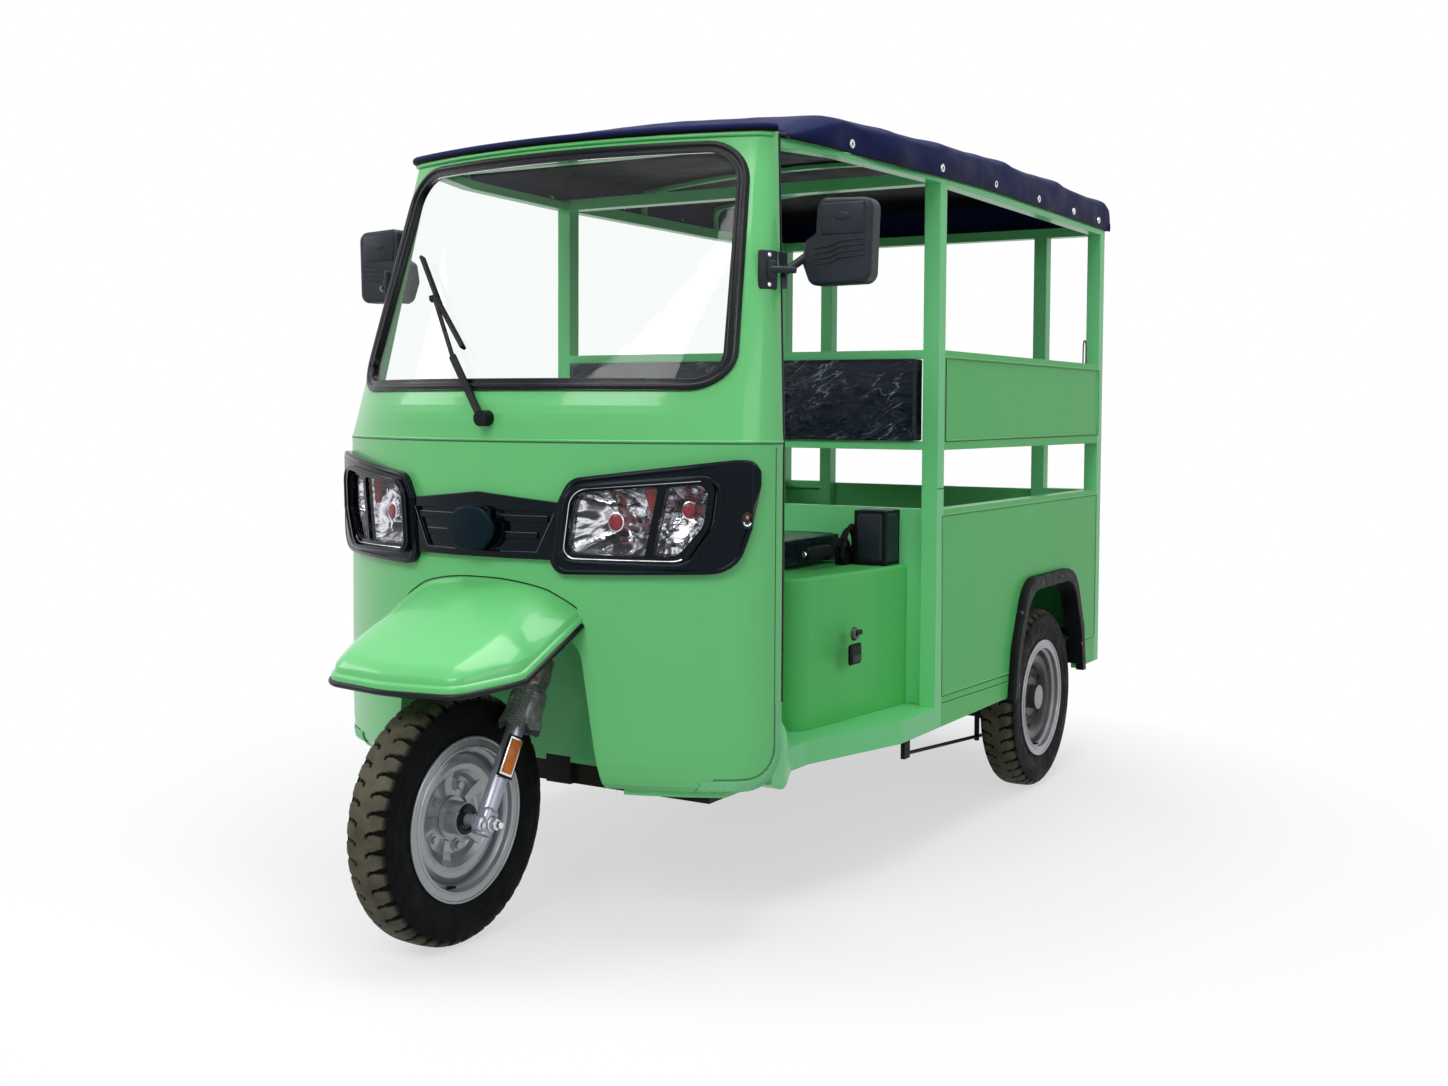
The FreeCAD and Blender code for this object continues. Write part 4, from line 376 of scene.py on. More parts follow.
class Finish:
    """A node material that starts as one Principled shader and gains colour variation, wear and relief."""

    def __init__(self, name, colour, roughness=0.4, metallic=0.0, **sockets):
        self.material = bpy.data.materials.new(name)
        self.material.use_nodes = True
        self.tree = self.material.node_tree
        self.shader = self.tree.nodes["Principled BSDF"]
        self.set("Base Color", (*colour, 1.0))
        self.set("Roughness", roughness)
        self.set("Metallic", metallic)
        for key, value in sockets.items():
            self.set(SOCKETS.get(key, key.replace("_", " ")), value)
        self.coords = self.node("ShaderNodeTexCoord").outputs["Object"]
        self.normal = None

    def set(self, socket, value):
        self.shader.inputs[socket].default_value = value

    def node(self, kind, **settings):
        made = self.tree.nodes.new(kind)
        for key, value in settings.items():
            if key in made.inputs:
                made.inputs[key].default_value = value
            else:
                setattr(made, key, value)
        return made

    def link(self, start, end):
        self.tree.links.new(start, end)

    def texture(self, kind, output, vector=None, **settings):
        made = self.node("ShaderNodeTex" + kind, **settings)
        self.link(vector or self.coords, made.inputs["Vector"])
        return made.outputs[output]

    def noise(self, scale, detail=4.0, distortion=0.0, stretch=None):
        settings = {"Scale": scale, "Detail": detail, "Distortion": distortion}
        return self.texture("Noise", "Fac", self.stretched(stretch), **settings)

    def combine(self, operation, first, second):
        made = self.node("ShaderNodeMath", operation=operation)
        self.link(first, made.inputs[0])
        self.link(second, made.inputs[1])
        return made.outputs[0]

    def spread(self, value, low, high, start, end):
        """Maps the span from low to high onto the span from start to end."""
        made = self.node("ShaderNodeMapRange")
        for key, number in (("From Min", low), ("From Max", high), ("To Min", start), ("To Max", end)):
            made.inputs[key].default_value = number
        self.link(value, made.inputs["Value"])
        return made.outputs["Result"]

    def vector(self, operation, first, second=(0, 0, 0)):
        made = self.node("ShaderNodeVectorMath", operation=operation)
        self.link(first, made.inputs[0])
        made.inputs[1].default_value = second
        return made.outputs["Value" if operation == "LENGTH" else 0]

    def geometry(self, output, axis):
        split = self.node("ShaderNodeSeparateXYZ")
        self.link(self.node("ShaderNodeNewGeometry").outputs[output], split.inputs[0])
        return split.outputs[axis]

    def cover(self, shader, factor):
        """Shows another shader over this one by a factor."""
        both = self.node("ShaderNodeMixShader")
        for start, end in ((factor, 0), (self.shader.outputs[0], 1), (shader.outputs[0], 2)):
            self.link(start, both.inputs[end])
        self.link(both.outputs[0], self.tree.nodes["Material Output"].inputs["Surface"])

    def stretched(self, stretch):
        if not stretch:
            return self.coords
        mapping = self.node("ShaderNodeMapping", Scale=stretch)
        self.link(self.coords, mapping.inputs["Vector"])
        return mapping.outputs["Vector"]

    def ramp(self, value, stops):
        made = self.node("ShaderNodeValToRGB")
        band = made.color_ramp
        while len(band.elements) < len(stops):
            band.elements.new(0.5)
        for element, (place, colour) in zip(band.elements, stops):
            element.position = place
            element.color = colour if len(colour) == 4 else (*colour, 1.0)
        self.link(value, made.inputs["Fac"])
        return made.outputs["Color"]

    def mix(self, factor, first, second):
        made = self.node("ShaderNodeMix", data_type="RGBA", blend_type="MIX")
        for socket, value in ((made.inputs[0], factor), (made.inputs[6], first), (made.inputs[7], second)):
            if isinstance(value, bpy.types.NodeSocket):
                self.link(value, socket)
            else:
                socket.default_value = value
        return made.outputs[2]

    def vary(self, other, scale, share, detail=3.0):
        """Blends patches of another colour into the base colour."""
        patches = self.ramp(self.noise(scale, detail), [(0.35, (0, 0, 0)), (0.75, (share,) * 3)])
        self.paint(self.mix(patches, self.current(), (*other, 1.0)))
        return self

    def current(self):
        socket = self.shader.inputs["Base Color"]
        return socket.links[0].from_socket if socket.is_linked else tuple(socket.default_value)

    def paint(self, output):
        self.link(output, self.shader.inputs["Base Color"])

    def rough(self, low, high, scale=6.0, detail=5.0):
        """Roughness that wanders between two values."""
        wander = self.spread(self.noise(scale, detail), 0.3, 0.7, low, high)
        self.link(wander, self.shader.inputs["Roughness"])
        return self

    def relief(self, height, strength, distance):
        """Adds a bump layer on top of those already there."""
        made = self.node("ShaderNodeBump", Strength=strength, Distance=distance)
        self.link(height, made.inputs["Height"])
        return self.shape(made)

    def rounded_edges(self, radius):
        """Softens hard edges the way a thick coat of paint does."""
        return self.shape(self.node("ShaderNodeBevel", samples=4, Radius=radius))

    def shape(self, made):
        if self.normal:
            self.link(self.normal, made.inputs["Normal"])
        self.normal = made.outputs["Normal"]
        self.link(self.normal, self.shader.inputs["Normal"])
        return self

    def behind(self, colour):
        """Painted shade: a dark colour on the faces that look to the rear."""
        back = self.spread(self.geometry("True Normal", "Y"), 0.25, 0.35, 0.0, 1.0)
        self.paint(self.mix(back, self.current(), (*colour, 1.0)))
        return self

    def dust(self, colour, low, high, share):
        """Road dust that gathers towards the ground between two heights."""
        fade = self.spread(self.geometry("Position", "Z"), low, high, share, 0.0)
        patch = self.combine("MULTIPLY", fade, self.noise(9.0, 6.0))
        self.paint(self.mix(patch, self.current(), (*colour, 1.0)))
        return self


def painted(name, colour, dark, roughness=0.24, coat=0.30, gloss=0.22):
    """Gloss enamel over sheet metal: clear coat and faint orange peel."""
    made = Finish(name, colour, roughness, coat=coat, coat_roughness=0.06, gloss=gloss)
    made.vary(dark, scale=0.7, share=0.12, detail=0.0)
    made.rough(roughness - 0.01, roughness + 0.03, scale=1.2, detail=0.0)
    made.relief(made.noise(190.0, 1.0), 0.03, 0.0003)
    return made


def make_finishes():
    looks = {}
    green = painted("enamel_green", (0.135, 0.560, 0.185), (0.115, 0.500, 0.160))
    looks["body_green"] = green.rounded_edges(0.0025)
    # Painted light: the frame's green is the body's enamel made brighter, standing for the light falling on
    # the posts and rails.
    lit_tube = painted("tube_green", (0.195, 0.730, 0.290), (0.165, 0.660, 0.250), 0.3, 0.15, 0.14)
    lit_tube.relief(lit_tube.noise(130.0, 3.0), 0.10, 0.0006)
    looks["frame_green"] = lit_tube.rounded_edges(0.003)
    flat = painted("panel_green", (0.120, 0.600, 0.165), (0.102, 0.535, 0.142), 0.34, 0.07, 0.07)
    looks["panel_green"] = flat.rounded_edges(0.0025)
    disc = Finish("rear_disc", (0.27, 0.28, 0.30), 0.34, 0.70)
    # Painted shade: the rear rims are painted nearly black from the hub cap out to about 95 mm and lighten
    # towards the flange, standing for the shade inside the dished wheel.
    offset = disc.vector("SUBTRACT", disc.coords, (0, 0.849, 0.262))
    reach = disc.vector("LENGTH", disc.vector("MULTIPLY", offset, (0, 1, 1)))
    painted_shade_rings = [(0.034, (0.24, 0.25, 0.26)), (0.038, (0.012, 0.012, 0.012)), (0.095, (0.016, 0.016, 0.016))]
    painted_shade_rings += [(0.122, (0.10, 0.10, 0.105)), (0.142, (0.34, 0.35, 0.36)), (0.168, (0.42, 0.43, 0.44))]
    disc.paint(disc.ramp(reach, painted_shade_rings))
    disc.vary((0.10, 0.10, 0.10), 6.0, 0.3).rough(0.28, 0.42, 8.0)
    looks["rear_disc"] = disc.rounded_edges(0.0015)
    looks["black_steel"] = Finish("black_steel", (0.004, 0.004, 0.005), 0.5, gloss=0.10).rough(0.35, 0.6)
    looks["black_steel"].dust((0.10, 0.085, 0.06), 0.15, 0.45, 0.6).rounded_edges(0.002)
    wheel = Finish("silver_wheel", (0.36, 0.37, 0.40), 0.30, 0.55, coat=0.30, coat_roughness=0.10)
    wheel.vary((0.28, 0.28, 0.31), scale=5.0, share=0.4).rough(0.24, 0.36, 6.0)
    wheel.relief(wheel.noise(120.0, 2.0), 0.04, 0.0004)
    looks["silver_wheel"] = wheel.rounded_edges(0.0015)
    fork = Finish("fork_silver", (0.38, 0.39, 0.46), 0.26, 0.45)
    fork.vary((0.30, 0.30, 0.36), scale=5.0, share=0.4, detail=1.0).rough(0.26, 0.34, 5.0)
    looks["fork_steel"] = fork.rounded_edges(0.002)
    seal = Finish("seal_rubber", (0.0012, 0.0022, 0.0052), 0.26, gloss=0.22)
    seal.rough(0.22, 0.38, 14.0).relief(seal.noise(400.0, 2.0), 0.06, 0.0004)
    looks["seal_rubber"] = seal.rounded_edges(0.002)
    fascia = Finish(
        "fascia_black", (0.0003, 0.0012, 0.0026), 0.09, gloss=0.22, Specular_Tint=(0.55, 0.68, 0.85, 1.0)
    )
    fascia.rough(0.08, 0.13, 3.0).relief(fascia.noise(14.0, 1.0), 0.05, 0.003)
    looks["fascia_black"] = fascia.rounded_edges(0.004)
    plastic = Finish("black_plastic", (0.004, 0.005, 0.006), 0.5, gloss=0.13)
    plastic.rough(0.42, 0.6, 25.0).relief(plastic.noise(900.0, 2.0), 0.2, 0.0003)
    looks["black_plastic"] = plastic.rounded_edges(0.002)
    mirror = Finish("mirror_black", (0.010, 0.015, 0.023), 0.42, gloss=0.22)
    mirror.vary((0.03, 0.036, 0.046), 12.0, 0.5)
    mirror.relief(mirror.noise(1100.0, 2.0), 0.25, 0.0003)
    looks["mirror_black"] = mirror.rounded_edges(0.003)
    looks["grip_rubber"] = Finish("grip_rubber", (0.005, 0.005, 0.005), 0.65, gloss=0.12)
    looks["grip_rubber"].relief(looks["grip_rubber"].noise(500.0), 0.3, 0.0004)
    chrome = Finish("lamp_chrome", (0.80, 0.81, 0.83), 0.08, 1.0)
    pressed = chrome.stretched((1.0, 0.4, 2.2))
    chrome.relief(chrome.texture("Voronoi", "Distance", pressed, Scale=26.0, feature="SMOOTH_F1"), 0.9, 0.02)
    # Painted shade: the lamp chrome's faces that look to the rear are painted nearly black.
    looks["lamp_chrome"] = chrome.behind((0.006, 0.006, 0.007))
    tail = Finish("tail_lens", (0.38, 0.004, 0.004), 0.16, coat=0.35, gloss=0.25)
    looks["tail_lens"] = tail.vary((0.20, 0.004, 0.003), 20.0, 0.6)
    battery = Finish("battery_case", (0.03, 0.03, 0.033), 0.5)
    looks["battery_case"] = battery.vary((0.05, 0.05, 0.05), 8.0, 0.5)
    looks["checker_floor"] = tread_plate(Finish("checker_floor", (0.05, 0.05, 0.052), 0.5, 0.5))
    cast = Finish("cast_drive", (0.018, 0.018, 0.019), 0.6, 0.3)
    cast.vary((0.08, 0.07, 0.055), 10.0, 0.5).relief(cast.noise(220.0), 0.4, 0.001)
    looks["cast_drive"] = cast.rounded_edges(0.003)
    looks["navy_canvas"] = make_canvas("navy_canvas")
    looks["navy_leather"] = make_vinyl("navy_vinyl")
    looks["filmed_vinyl"] = film_glints(make_vinyl("filmed_vinyl"))
    looks["tyre_rubber"] = make_rubber()
    looks["sleeve_plastic"] = make_wrap()
    looks["screen_glass"] = make_glass("screen_glass", (0.93, 0.97, 0.95), 0.01)
    looks["lens_clear"] = make_glass("lens_clear", (0.97, 0.98, 1.0), 0.03)
    return {key: value.material for key, value in looks.items()}


def tread_plate(made):
    """Raised bars of a non-slip floor, in two crossed directions."""
    for turn in (45, -45):
        bars = made.node("ShaderNodeMapping", Rotation=(0, 0, radians(turn)), Scale=(60.0, 20.0, 1.0))
        made.link(made.coords, bars.inputs["Vector"])
        cells = made.texture("Voronoi", "Distance", bars.outputs["Vector"], Scale=1.0, Randomness=0.0)
        height = made.ramp(cells, [(0.25, (1, 1, 1)), (0.40, (0, 0, 0))])
        made.relief(height, 0.5, 0.001)
    made.dust((0.12, 0.10, 0.07), 0.3, 0.6, 0.6)
    return made


def make_canvas(name):
    """Coated tarpaulin: tight weave, creases, a dull sheen and painted shade on the faces that look down."""
    made = Finish(name, (0.006, 0.010, 0.060), 0.42, gloss=0.06)
    made.vary((0.012, 0.015, 0.068), 5.0, 0.5, 5.0)
    # Painted shade: faces that look downwards, such as the roof's underside, are painted nearly black.
    under = made.spread(made.geometry("Normal", "Z"), -0.1, -0.5, 0.0, 1.0)
    made.paint(made.mix(under, made.current(), (0.004, 0.005, 0.006, 1)))
    made.rough(0.46, 0.62, 9.0)
    for direction in ("X", "Y", "Z"):
        weave = made.texture("Wave", "Fac", Scale=420.0, bands_direction=direction, Distortion=0.4)
        made.relief(weave, 0.10, 0.0002)
    made.relief(made.noise(9.0, 5.0, 1.2), 0.30, 0.008)
    made.relief(made.noise(34.0, 4.0, 0.8), 0.22, 0.002)
    return made


def make_vinyl(name):
    """Grained seat vinyl under a crumpled clear film."""
    made = Finish(name, (0.002, 0.007, 0.016), 0.36, coat=0.50, coat_roughness=0.05, gloss=0.12)
    made.vary((0.008, 0.012, 0.034), 7.0, 0.6)
    made.relief(made.texture("Voronoi", "Distance", Scale=420.0), 0.15, 0.0004)
    folds = made.node("ShaderNodeBump", Strength=1.0, Distance=0.014)
    crease = made.noise(14.0, 3.0, 2.2, (1.0, 1.0, 3.2))
    ridges = made.ramp(crease, [(0.40, (0, 0, 0)), (0.50, (1, 1, 1)), (0.60, (0, 0, 0))])
    made.link(ridges, folds.inputs["Height"])
    made.link(folds.outputs["Normal"], made.shader.inputs["Coat Normal"])
    return made


def film_glints(made):
    """Painted highlights: thin pale glints along creases fanning over a clear film."""
    tilt = (0.0, radians(-27), 0.0)
    turned = made.node("ShaderNodeMapping", vector_type="TEXTURE", Rotation=tilt, Scale=(1.0, 1.0, 0.20))
    made.link(made.coords, turned.inputs["Vector"])
    crease = made.texture("Noise", "Fac", turned.outputs["Vector"], Scale=6.0, Detail=4.0, Distortion=0.9)
    # Painted highlights: pale streaks along the film's creases stand for light glinting off them.
    lines = made.ramp(crease, [(0.486, (0, 0, 0)), (0.500, (1, 1, 1)), (0.514, (0, 0, 0))])
    places = made.ramp(made.noise(9.0, 3.0), [(0.44, (0, 0, 0)), (0.58, (0.9, 0.9, 0.9))])
    share = made.combine("MULTIPLY", lines, places)
    made.paint(made.mix(share, made.current(), (0.30, 0.37, 0.44, 1)))
    return made


def make_rubber():
    """Tyre rubber: black walls and a dusty brown-grey running surface."""
    made = Finish("tyre_rubber", (0.003, 0.003, 0.003), 0.55, gloss=0.07)
    split = made.node("ShaderNodeSeparateXYZ")
    made.link(made.node("ShaderNodeAttribute", attribute_name="tread").outputs["Vector"], split.inputs[0])
    patches = made.spread(made.noise(26.0, 6.0), 0.3, 0.65, 0.55, 1.0)
    dirt = made.combine("MULTIPLY", split.outputs["X"], patches)
    made.paint(made.mix(dirt, (0.0022, 0.0030, 0.0030, 1), (0.115, 0.108, 0.076, 1)))
    made.rough(0.45, 0.7, 30.0)
    made.relief(made.noise(320.0, 4.0), 0.25, 0.0005)
    return made


def make_wrap():
    """Cloudy bubble wrap: a grey film with close rows of small blisters."""
    made = Finish("bubble_wrap", (0.22, 0.22, 0.22), 0.3, coat=0.5, coat_roughness=0.12, Alpha=0.86)
    made.vary((0.05, 0.05, 0.05), 16.0, 0.8)
    cells = made.texture("Voronoi", "Distance", Scale=210.0, Randomness=0.2)
    dots = made.ramp(cells, [(0.22, (1, 1, 1)), (0.42, (0, 0, 0))])
    made.paint(made.mix(dots, made.current(), (0.34, 0.34, 0.34, 1)))
    made.relief(dots, 0.6, 0.002)
    made.relief(made.noise(26.0, 3.0, 1.2), 0.7, 0.008)
    return made


def make_glass(name, tint, roughness):
    """Clear pane; the light that falls through it isn't dimmed."""
    made = Finish(name, tint, roughness, Transmission_Weight=1.0, IOR=1.03, coat=0.28, coat_roughness=0.02)
    made.rough(roughness, roughness + 0.03, 3.0)
    clear = made.node("ShaderNodeBsdfTransparent", Color=(*tint, 1.0))
    path = made.node("ShaderNodeLightPath").outputs
    made.cover(clear, made.combine("MAXIMUM", path["Is Shadow Ray"], path["Is Diffuse Ray"]))
    return made


LOOK = make_finishes()
SPECIAL = {
    "body_side_left": "panel_green",
    "body_side_right": "panel_green",
    "side_backrests": "panel_green",
    "driver_seat_box": "panel_green",
    "rear_left_rim": "rear_disc",
    "rear_right_rim": "rear_disc",
}

for entry in frame["record"]["subparts"]:
    node = NODES[entry["node"]]
    node.data.materials.clear()
    look = SPECIAL.get(entry["node"], entry["material_slot"])
    node.data.materials.append(LOOK[look])

# Tyres

# Name, middle, the side its valve looks to and how far out its hub seal sits
WHEELS = (
    ("front", (0, -1.133, 0.262), 1, 0.0455),
    ("rear_left", (0.536, 0.849, 0.262), 1, None),
    ("rear_right", (-0.536, 0.849, 0.262), -1, None),
)
PITCHES, CUTS = 42, 22
# Distance from the tyre's middle and radius
CROWN = [
    (0.0, 0.2620), (0.010, 0.2618), (0.020, 0.2614), (0.028, 0.2608), (0.035, 0.2590), (0.043, 0.2535),
    (0.0495, 0.2440),
]
WALL = [
    (0.0518, 0.2330), (0.0520, 0.2180), (0.0512, 0.2040), (0.0492, 0.1900), (0.0472, 0.1800),
    (0.0460, 0.1745), (0.0448, 0.1712), (0.0432, 0.1700), (0.0430, 0.1520),
]


def crown_radius(x):
    """Radius of the running surface at a distance from the tyre's middle."""
    x = abs(x)
    for (x0, r0), (x1, r1) in zip(CROWN, CROWN[1:]):
        if x <= x1:
            return r0 + (r1 - r0) * (x - x0) / (x1 - x0)
    return CROWN[-1][1]


def groove_depth(t, x):
    """Depth of the tread pattern at a share t of one pitch, and across at x."""
    t = t if x >= 0 else (t + 0.5) % 1.0
    reach = abs(x)
    if reach < 0.011:
        return 0.0
    middle = 0.42 - 5.5 * (reach - 0.011)
    half = 0.075
    if reach < 0.017:
        middle, half = 0.50, 0.13
    if reach > 0.030:
        half = 0.075 + 9.0 * (reach - 0.030)
        middle += 3.0 * (reach - 0.030)
    return 0.0075 if abs(t - middle) < half else 0.0


def make_tyre(wheel, centre):
    """A tyre with hooked side slots cut into its running surface and ribs round its walls."""
    name, body, node = f"{wheel}_tyre_tread", f"{wheel}_wheel", f"{wheel}_tyre"
    across = [
        0.0104, 0.0116, 0.0140, 0.0164, 0.0176, 0.0210, 0.0250, 0.0290, 0.0330, 0.0365, 0.0400, 0.0430,
        0.0460,
    ]
    lines = sorted([s * v for v in across for s in (1, -1)] + [0.0])
    shares = [i / CUTS for i in range(CUTS)] * PITCHES
    angles = [(i // CUTS + share) / PITCHES * 2 * pi for i, share in enumerate(shares)]
    rows = [(-x, r) for x, r in reversed(WALL)]
    rows += [(-CROWN[-1][0], CROWN[-1][1])] + [(x, None) for x in lines] + [(CROWN[-1][0], CROWN[-1][1])]
    rows += WALL
    vertices, worn = [], []
    for angle, share in zip(angles, shares):
        for x, radius in rows:
            if radius is None:
                depth = groove_depth(share, x)
                r = crown_radius(x) - depth
                worn.append(max(0.0, 1.0 - depth / 0.003) * (1.0 if abs(x) < 0.044 else 0.3))
            else:
                r = radius
                worn.append(0.0)
            vertices.append(Vector((x, r * cos(angle), r * sin(angle))) + Vector(centre))
    mesh = bpy.data.meshes.new(name)
    mesh.from_pydata(vertices, [], quads(len(angles), len(rows), True, True))
    layer = mesh.attributes.new("tread", "FLOAT_VECTOR", "POINT")
    for item, value in zip(layer.data, worn):
        item.vector = (value, 0, 0)
    turn_outwards(mesh)
    tyre = add_object(name, mesh, 32)
    dress(tyre, "tyre_rubber", body=body)
    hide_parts(node)

    rings = []
    for side in (1, -1):
        for x, r, thick in ((0.0519, 0.226, 0.0009), (0.0514, 0.206, 0.0008), (0.0478, 0.183, 0.0010)):
            profile = [
                (side * (x - 0.002), r - thick), (side * (x + thick * 0.4), r),
                (side * (x - 0.002), r + thick),
            ]
            rings.append(lathe("rib", profile, centre, (1, 0, 0), 96, closed=True))
    dress(join(name + "_ribs", rings), "tyre_rubber", body=body)


for wheel, centre, *_ in WHEELS:
    make_tyre(wheel, centre)

# Padded seats

PADDED = ("driver_seat_cushion", "front_backrest", "bench_cushions")


def make_pad(name, nodes, look, low, high, crown, pull, seams, seam_axis, fill):
    """A stuffed pad between two corners: crowned faces, pulled-in sides, sewn channels and piping."""
    size, middle = high - low, (high + low) / 2
    thin = min(range(3), key=lambda k: size[k])
    wide = [k for k in range(3) if k != thin]
    bm = bmesh.new()
    bmesh.ops.create_cube(bm, size=2)
    bmesh.ops.subdivide_edges(bm, edges=bm.edges[:], cuts=23, use_grid_fill=True)
    for v in bm.verts:
        p = [v.co.x, v.co.y, v.co.z]
        p = [copysign(1 - (1 - abs(c)) ** 1.25, c) for c in p]
        a, b, t = p[wide[0]], p[wide[1]], p[thin]
        edge = (1 - abs(a) ** 6) * (1 - abs(b) ** 6)
        out = Vector((p[0] * size.x / 2, p[1] * size.y / 2, p[2] * size.z / 2))
        swell = crown * (1 - abs(a) ** 2.5) * (1 - abs(b) ** 2.5)
        out[thin] -= copysign(crown * 0.9, t) * abs(t)
        out[thin] += copysign(swell, t) * abs(t)
        tuck = pull * (1 - t * t)
        out[wide[0]] -= copysign(tuck * (1 - abs(b) ** 4), a) * abs(a) ** 5
        out[wide[1]] -= copysign(tuck * (1 - abs(a) ** 4), b) * abs(b) ** 5
        along = out[seam_axis]
        for place in seams:
            gap = abs(along - place) / 0.012
            if gap < 3:
                out[thin] -= copysign(0.007 * exp(-gap * gap), t) * edge * abs(t)
        ruffle = wobble(out.x * 9, out.y * 9, out.z * 9) * 0.002
        out[thin] += ruffle * edge
        v.co = out + middle
    pad = from_bmesh(name, bm, 60)
    subdivide(pad)
    apply_modifiers(pad, 60)
    dress(pad, look, "navy_leather")
    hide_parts(*nodes)
    a, b = wide
    inset, r = 0.006, 0.025
    ra, rb = size[a] / 2 - inset, size[b] / 2 - inset
    for side, letter in ((1, "a"), (-1, "b")):
        loop = []
        for qa, qb, start in ((1, 1, 0), (-1, 1, 90), (-1, -1, 180), (1, -1, 270)):
            for i in range(7):
                turn = radians(start + i * 15)
                p = Vector((0, 0, 0))
                p[a] = qa * (ra - r) + r * cos(turn)
                p[b] = qb * (rb - r) + r * sin(turn)
                p[thin] = side * (size[thin] / 2 - crown * 0.9 - 0.002)
                loop.append(p + middle)
        dress(sweep(f"{name}_piping_{letter}", loop, 0.004, 8, closed=True), look, "navy_leather")


def make_pads():
    """Seat, backrest and the two long bench pads; the left one stands for the node that holds both."""
    seat, backrest, benches = ([Vector(c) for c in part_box(node)] for node in PADDED)
    inner = 0.292
    left = Vector((inner, benches[0].y, benches[0].z)), benches[1]
    right = benches[0], Vector((-inner, benches[1].y, benches[1].z))
    make_pad("driver_seat_pad", PADDED[:1], "navy_leather", *seat, 0.012, 0.008, (-0.11, 0.11), 0, 0.7)
    make_pad("front_backrest_pad", PADDED[1:2], "filmed_vinyl", *backrest, 0.008, 0.005, (), 0, 0.75)
    make_pad("bench_pad_left", PADDED[2:], "navy_leather", *left, 0.010, 0.006, (-0.30, 0.0, 0.30), 1, 0.7)
    make_pad("bench_pad_right", [], "navy_leather", *right, 0.010, 0.006, (-0.30, 0.0, 0.30), 1, 0.7)


make_pads()

# Canvas roof

# Place along the vehicle, half width, hem, fold and crown rise
ROOF = [
    (-0.790, 0.490, 1.699, 1.7145, 0.003),
    (-0.755, 0.500, 1.698, 1.7150, 0.005),
    (-0.635, 0.507, 1.694, 1.7200, 0.012),
    (-0.465, 0.554, 1.686, 1.7640, 0.024),
    (-0.200, 0.588, 1.682, 1.7730, 0.034),
    (0.029, 0.601, 1.686, 1.7770, 0.037),
    (0.419, 0.601, 1.693, 1.7930, 0.034),
    (0.800, 0.601, 1.693, 1.7940, 0.034),
    (1.145, 0.601, 1.693, 1.7940, 0.034),
    (1.330, 0.601, 1.692, 1.7900, 0.030),
    (1.393, 0.599, 1.691, 1.7800, 0.026),
]
BOWS = (-0.422, 0.050, 0.472, 0.902, 1.352)
EYELETS = (-0.409, 0.013, 0.374, 0.713, 1.025, 1.271)


def roof_at(y):
    """Half width, hem, fold and crown rise of the roof cover at one place along it."""
    for a, b in zip(ROOF, ROOF[1:]):
        if y <= b[0]:
            t = max(0.0, (y - a[0]) / (b[0] - a[0]))
            t = t * t * (3 - 2 * t) * 0.5 + t * 0.5
            return [p + (q - p) * t for p, q in zip(a[1:], b[1:])]
    return list(ROOF[-1][1:])


def cab_front(x):
    """How far forward the roof's edge lies over the cab at a distance from the middle."""
    broad, corner_x = 0.845, 0.452
    y = -0.768 + broad - sqrt(broad * broad - min(abs(x), 0.47) ** 2)
    if abs(x) > corner_x:
        y += ((abs(x) - corner_x) / 0.055) ** 2 * 0.02
    return y


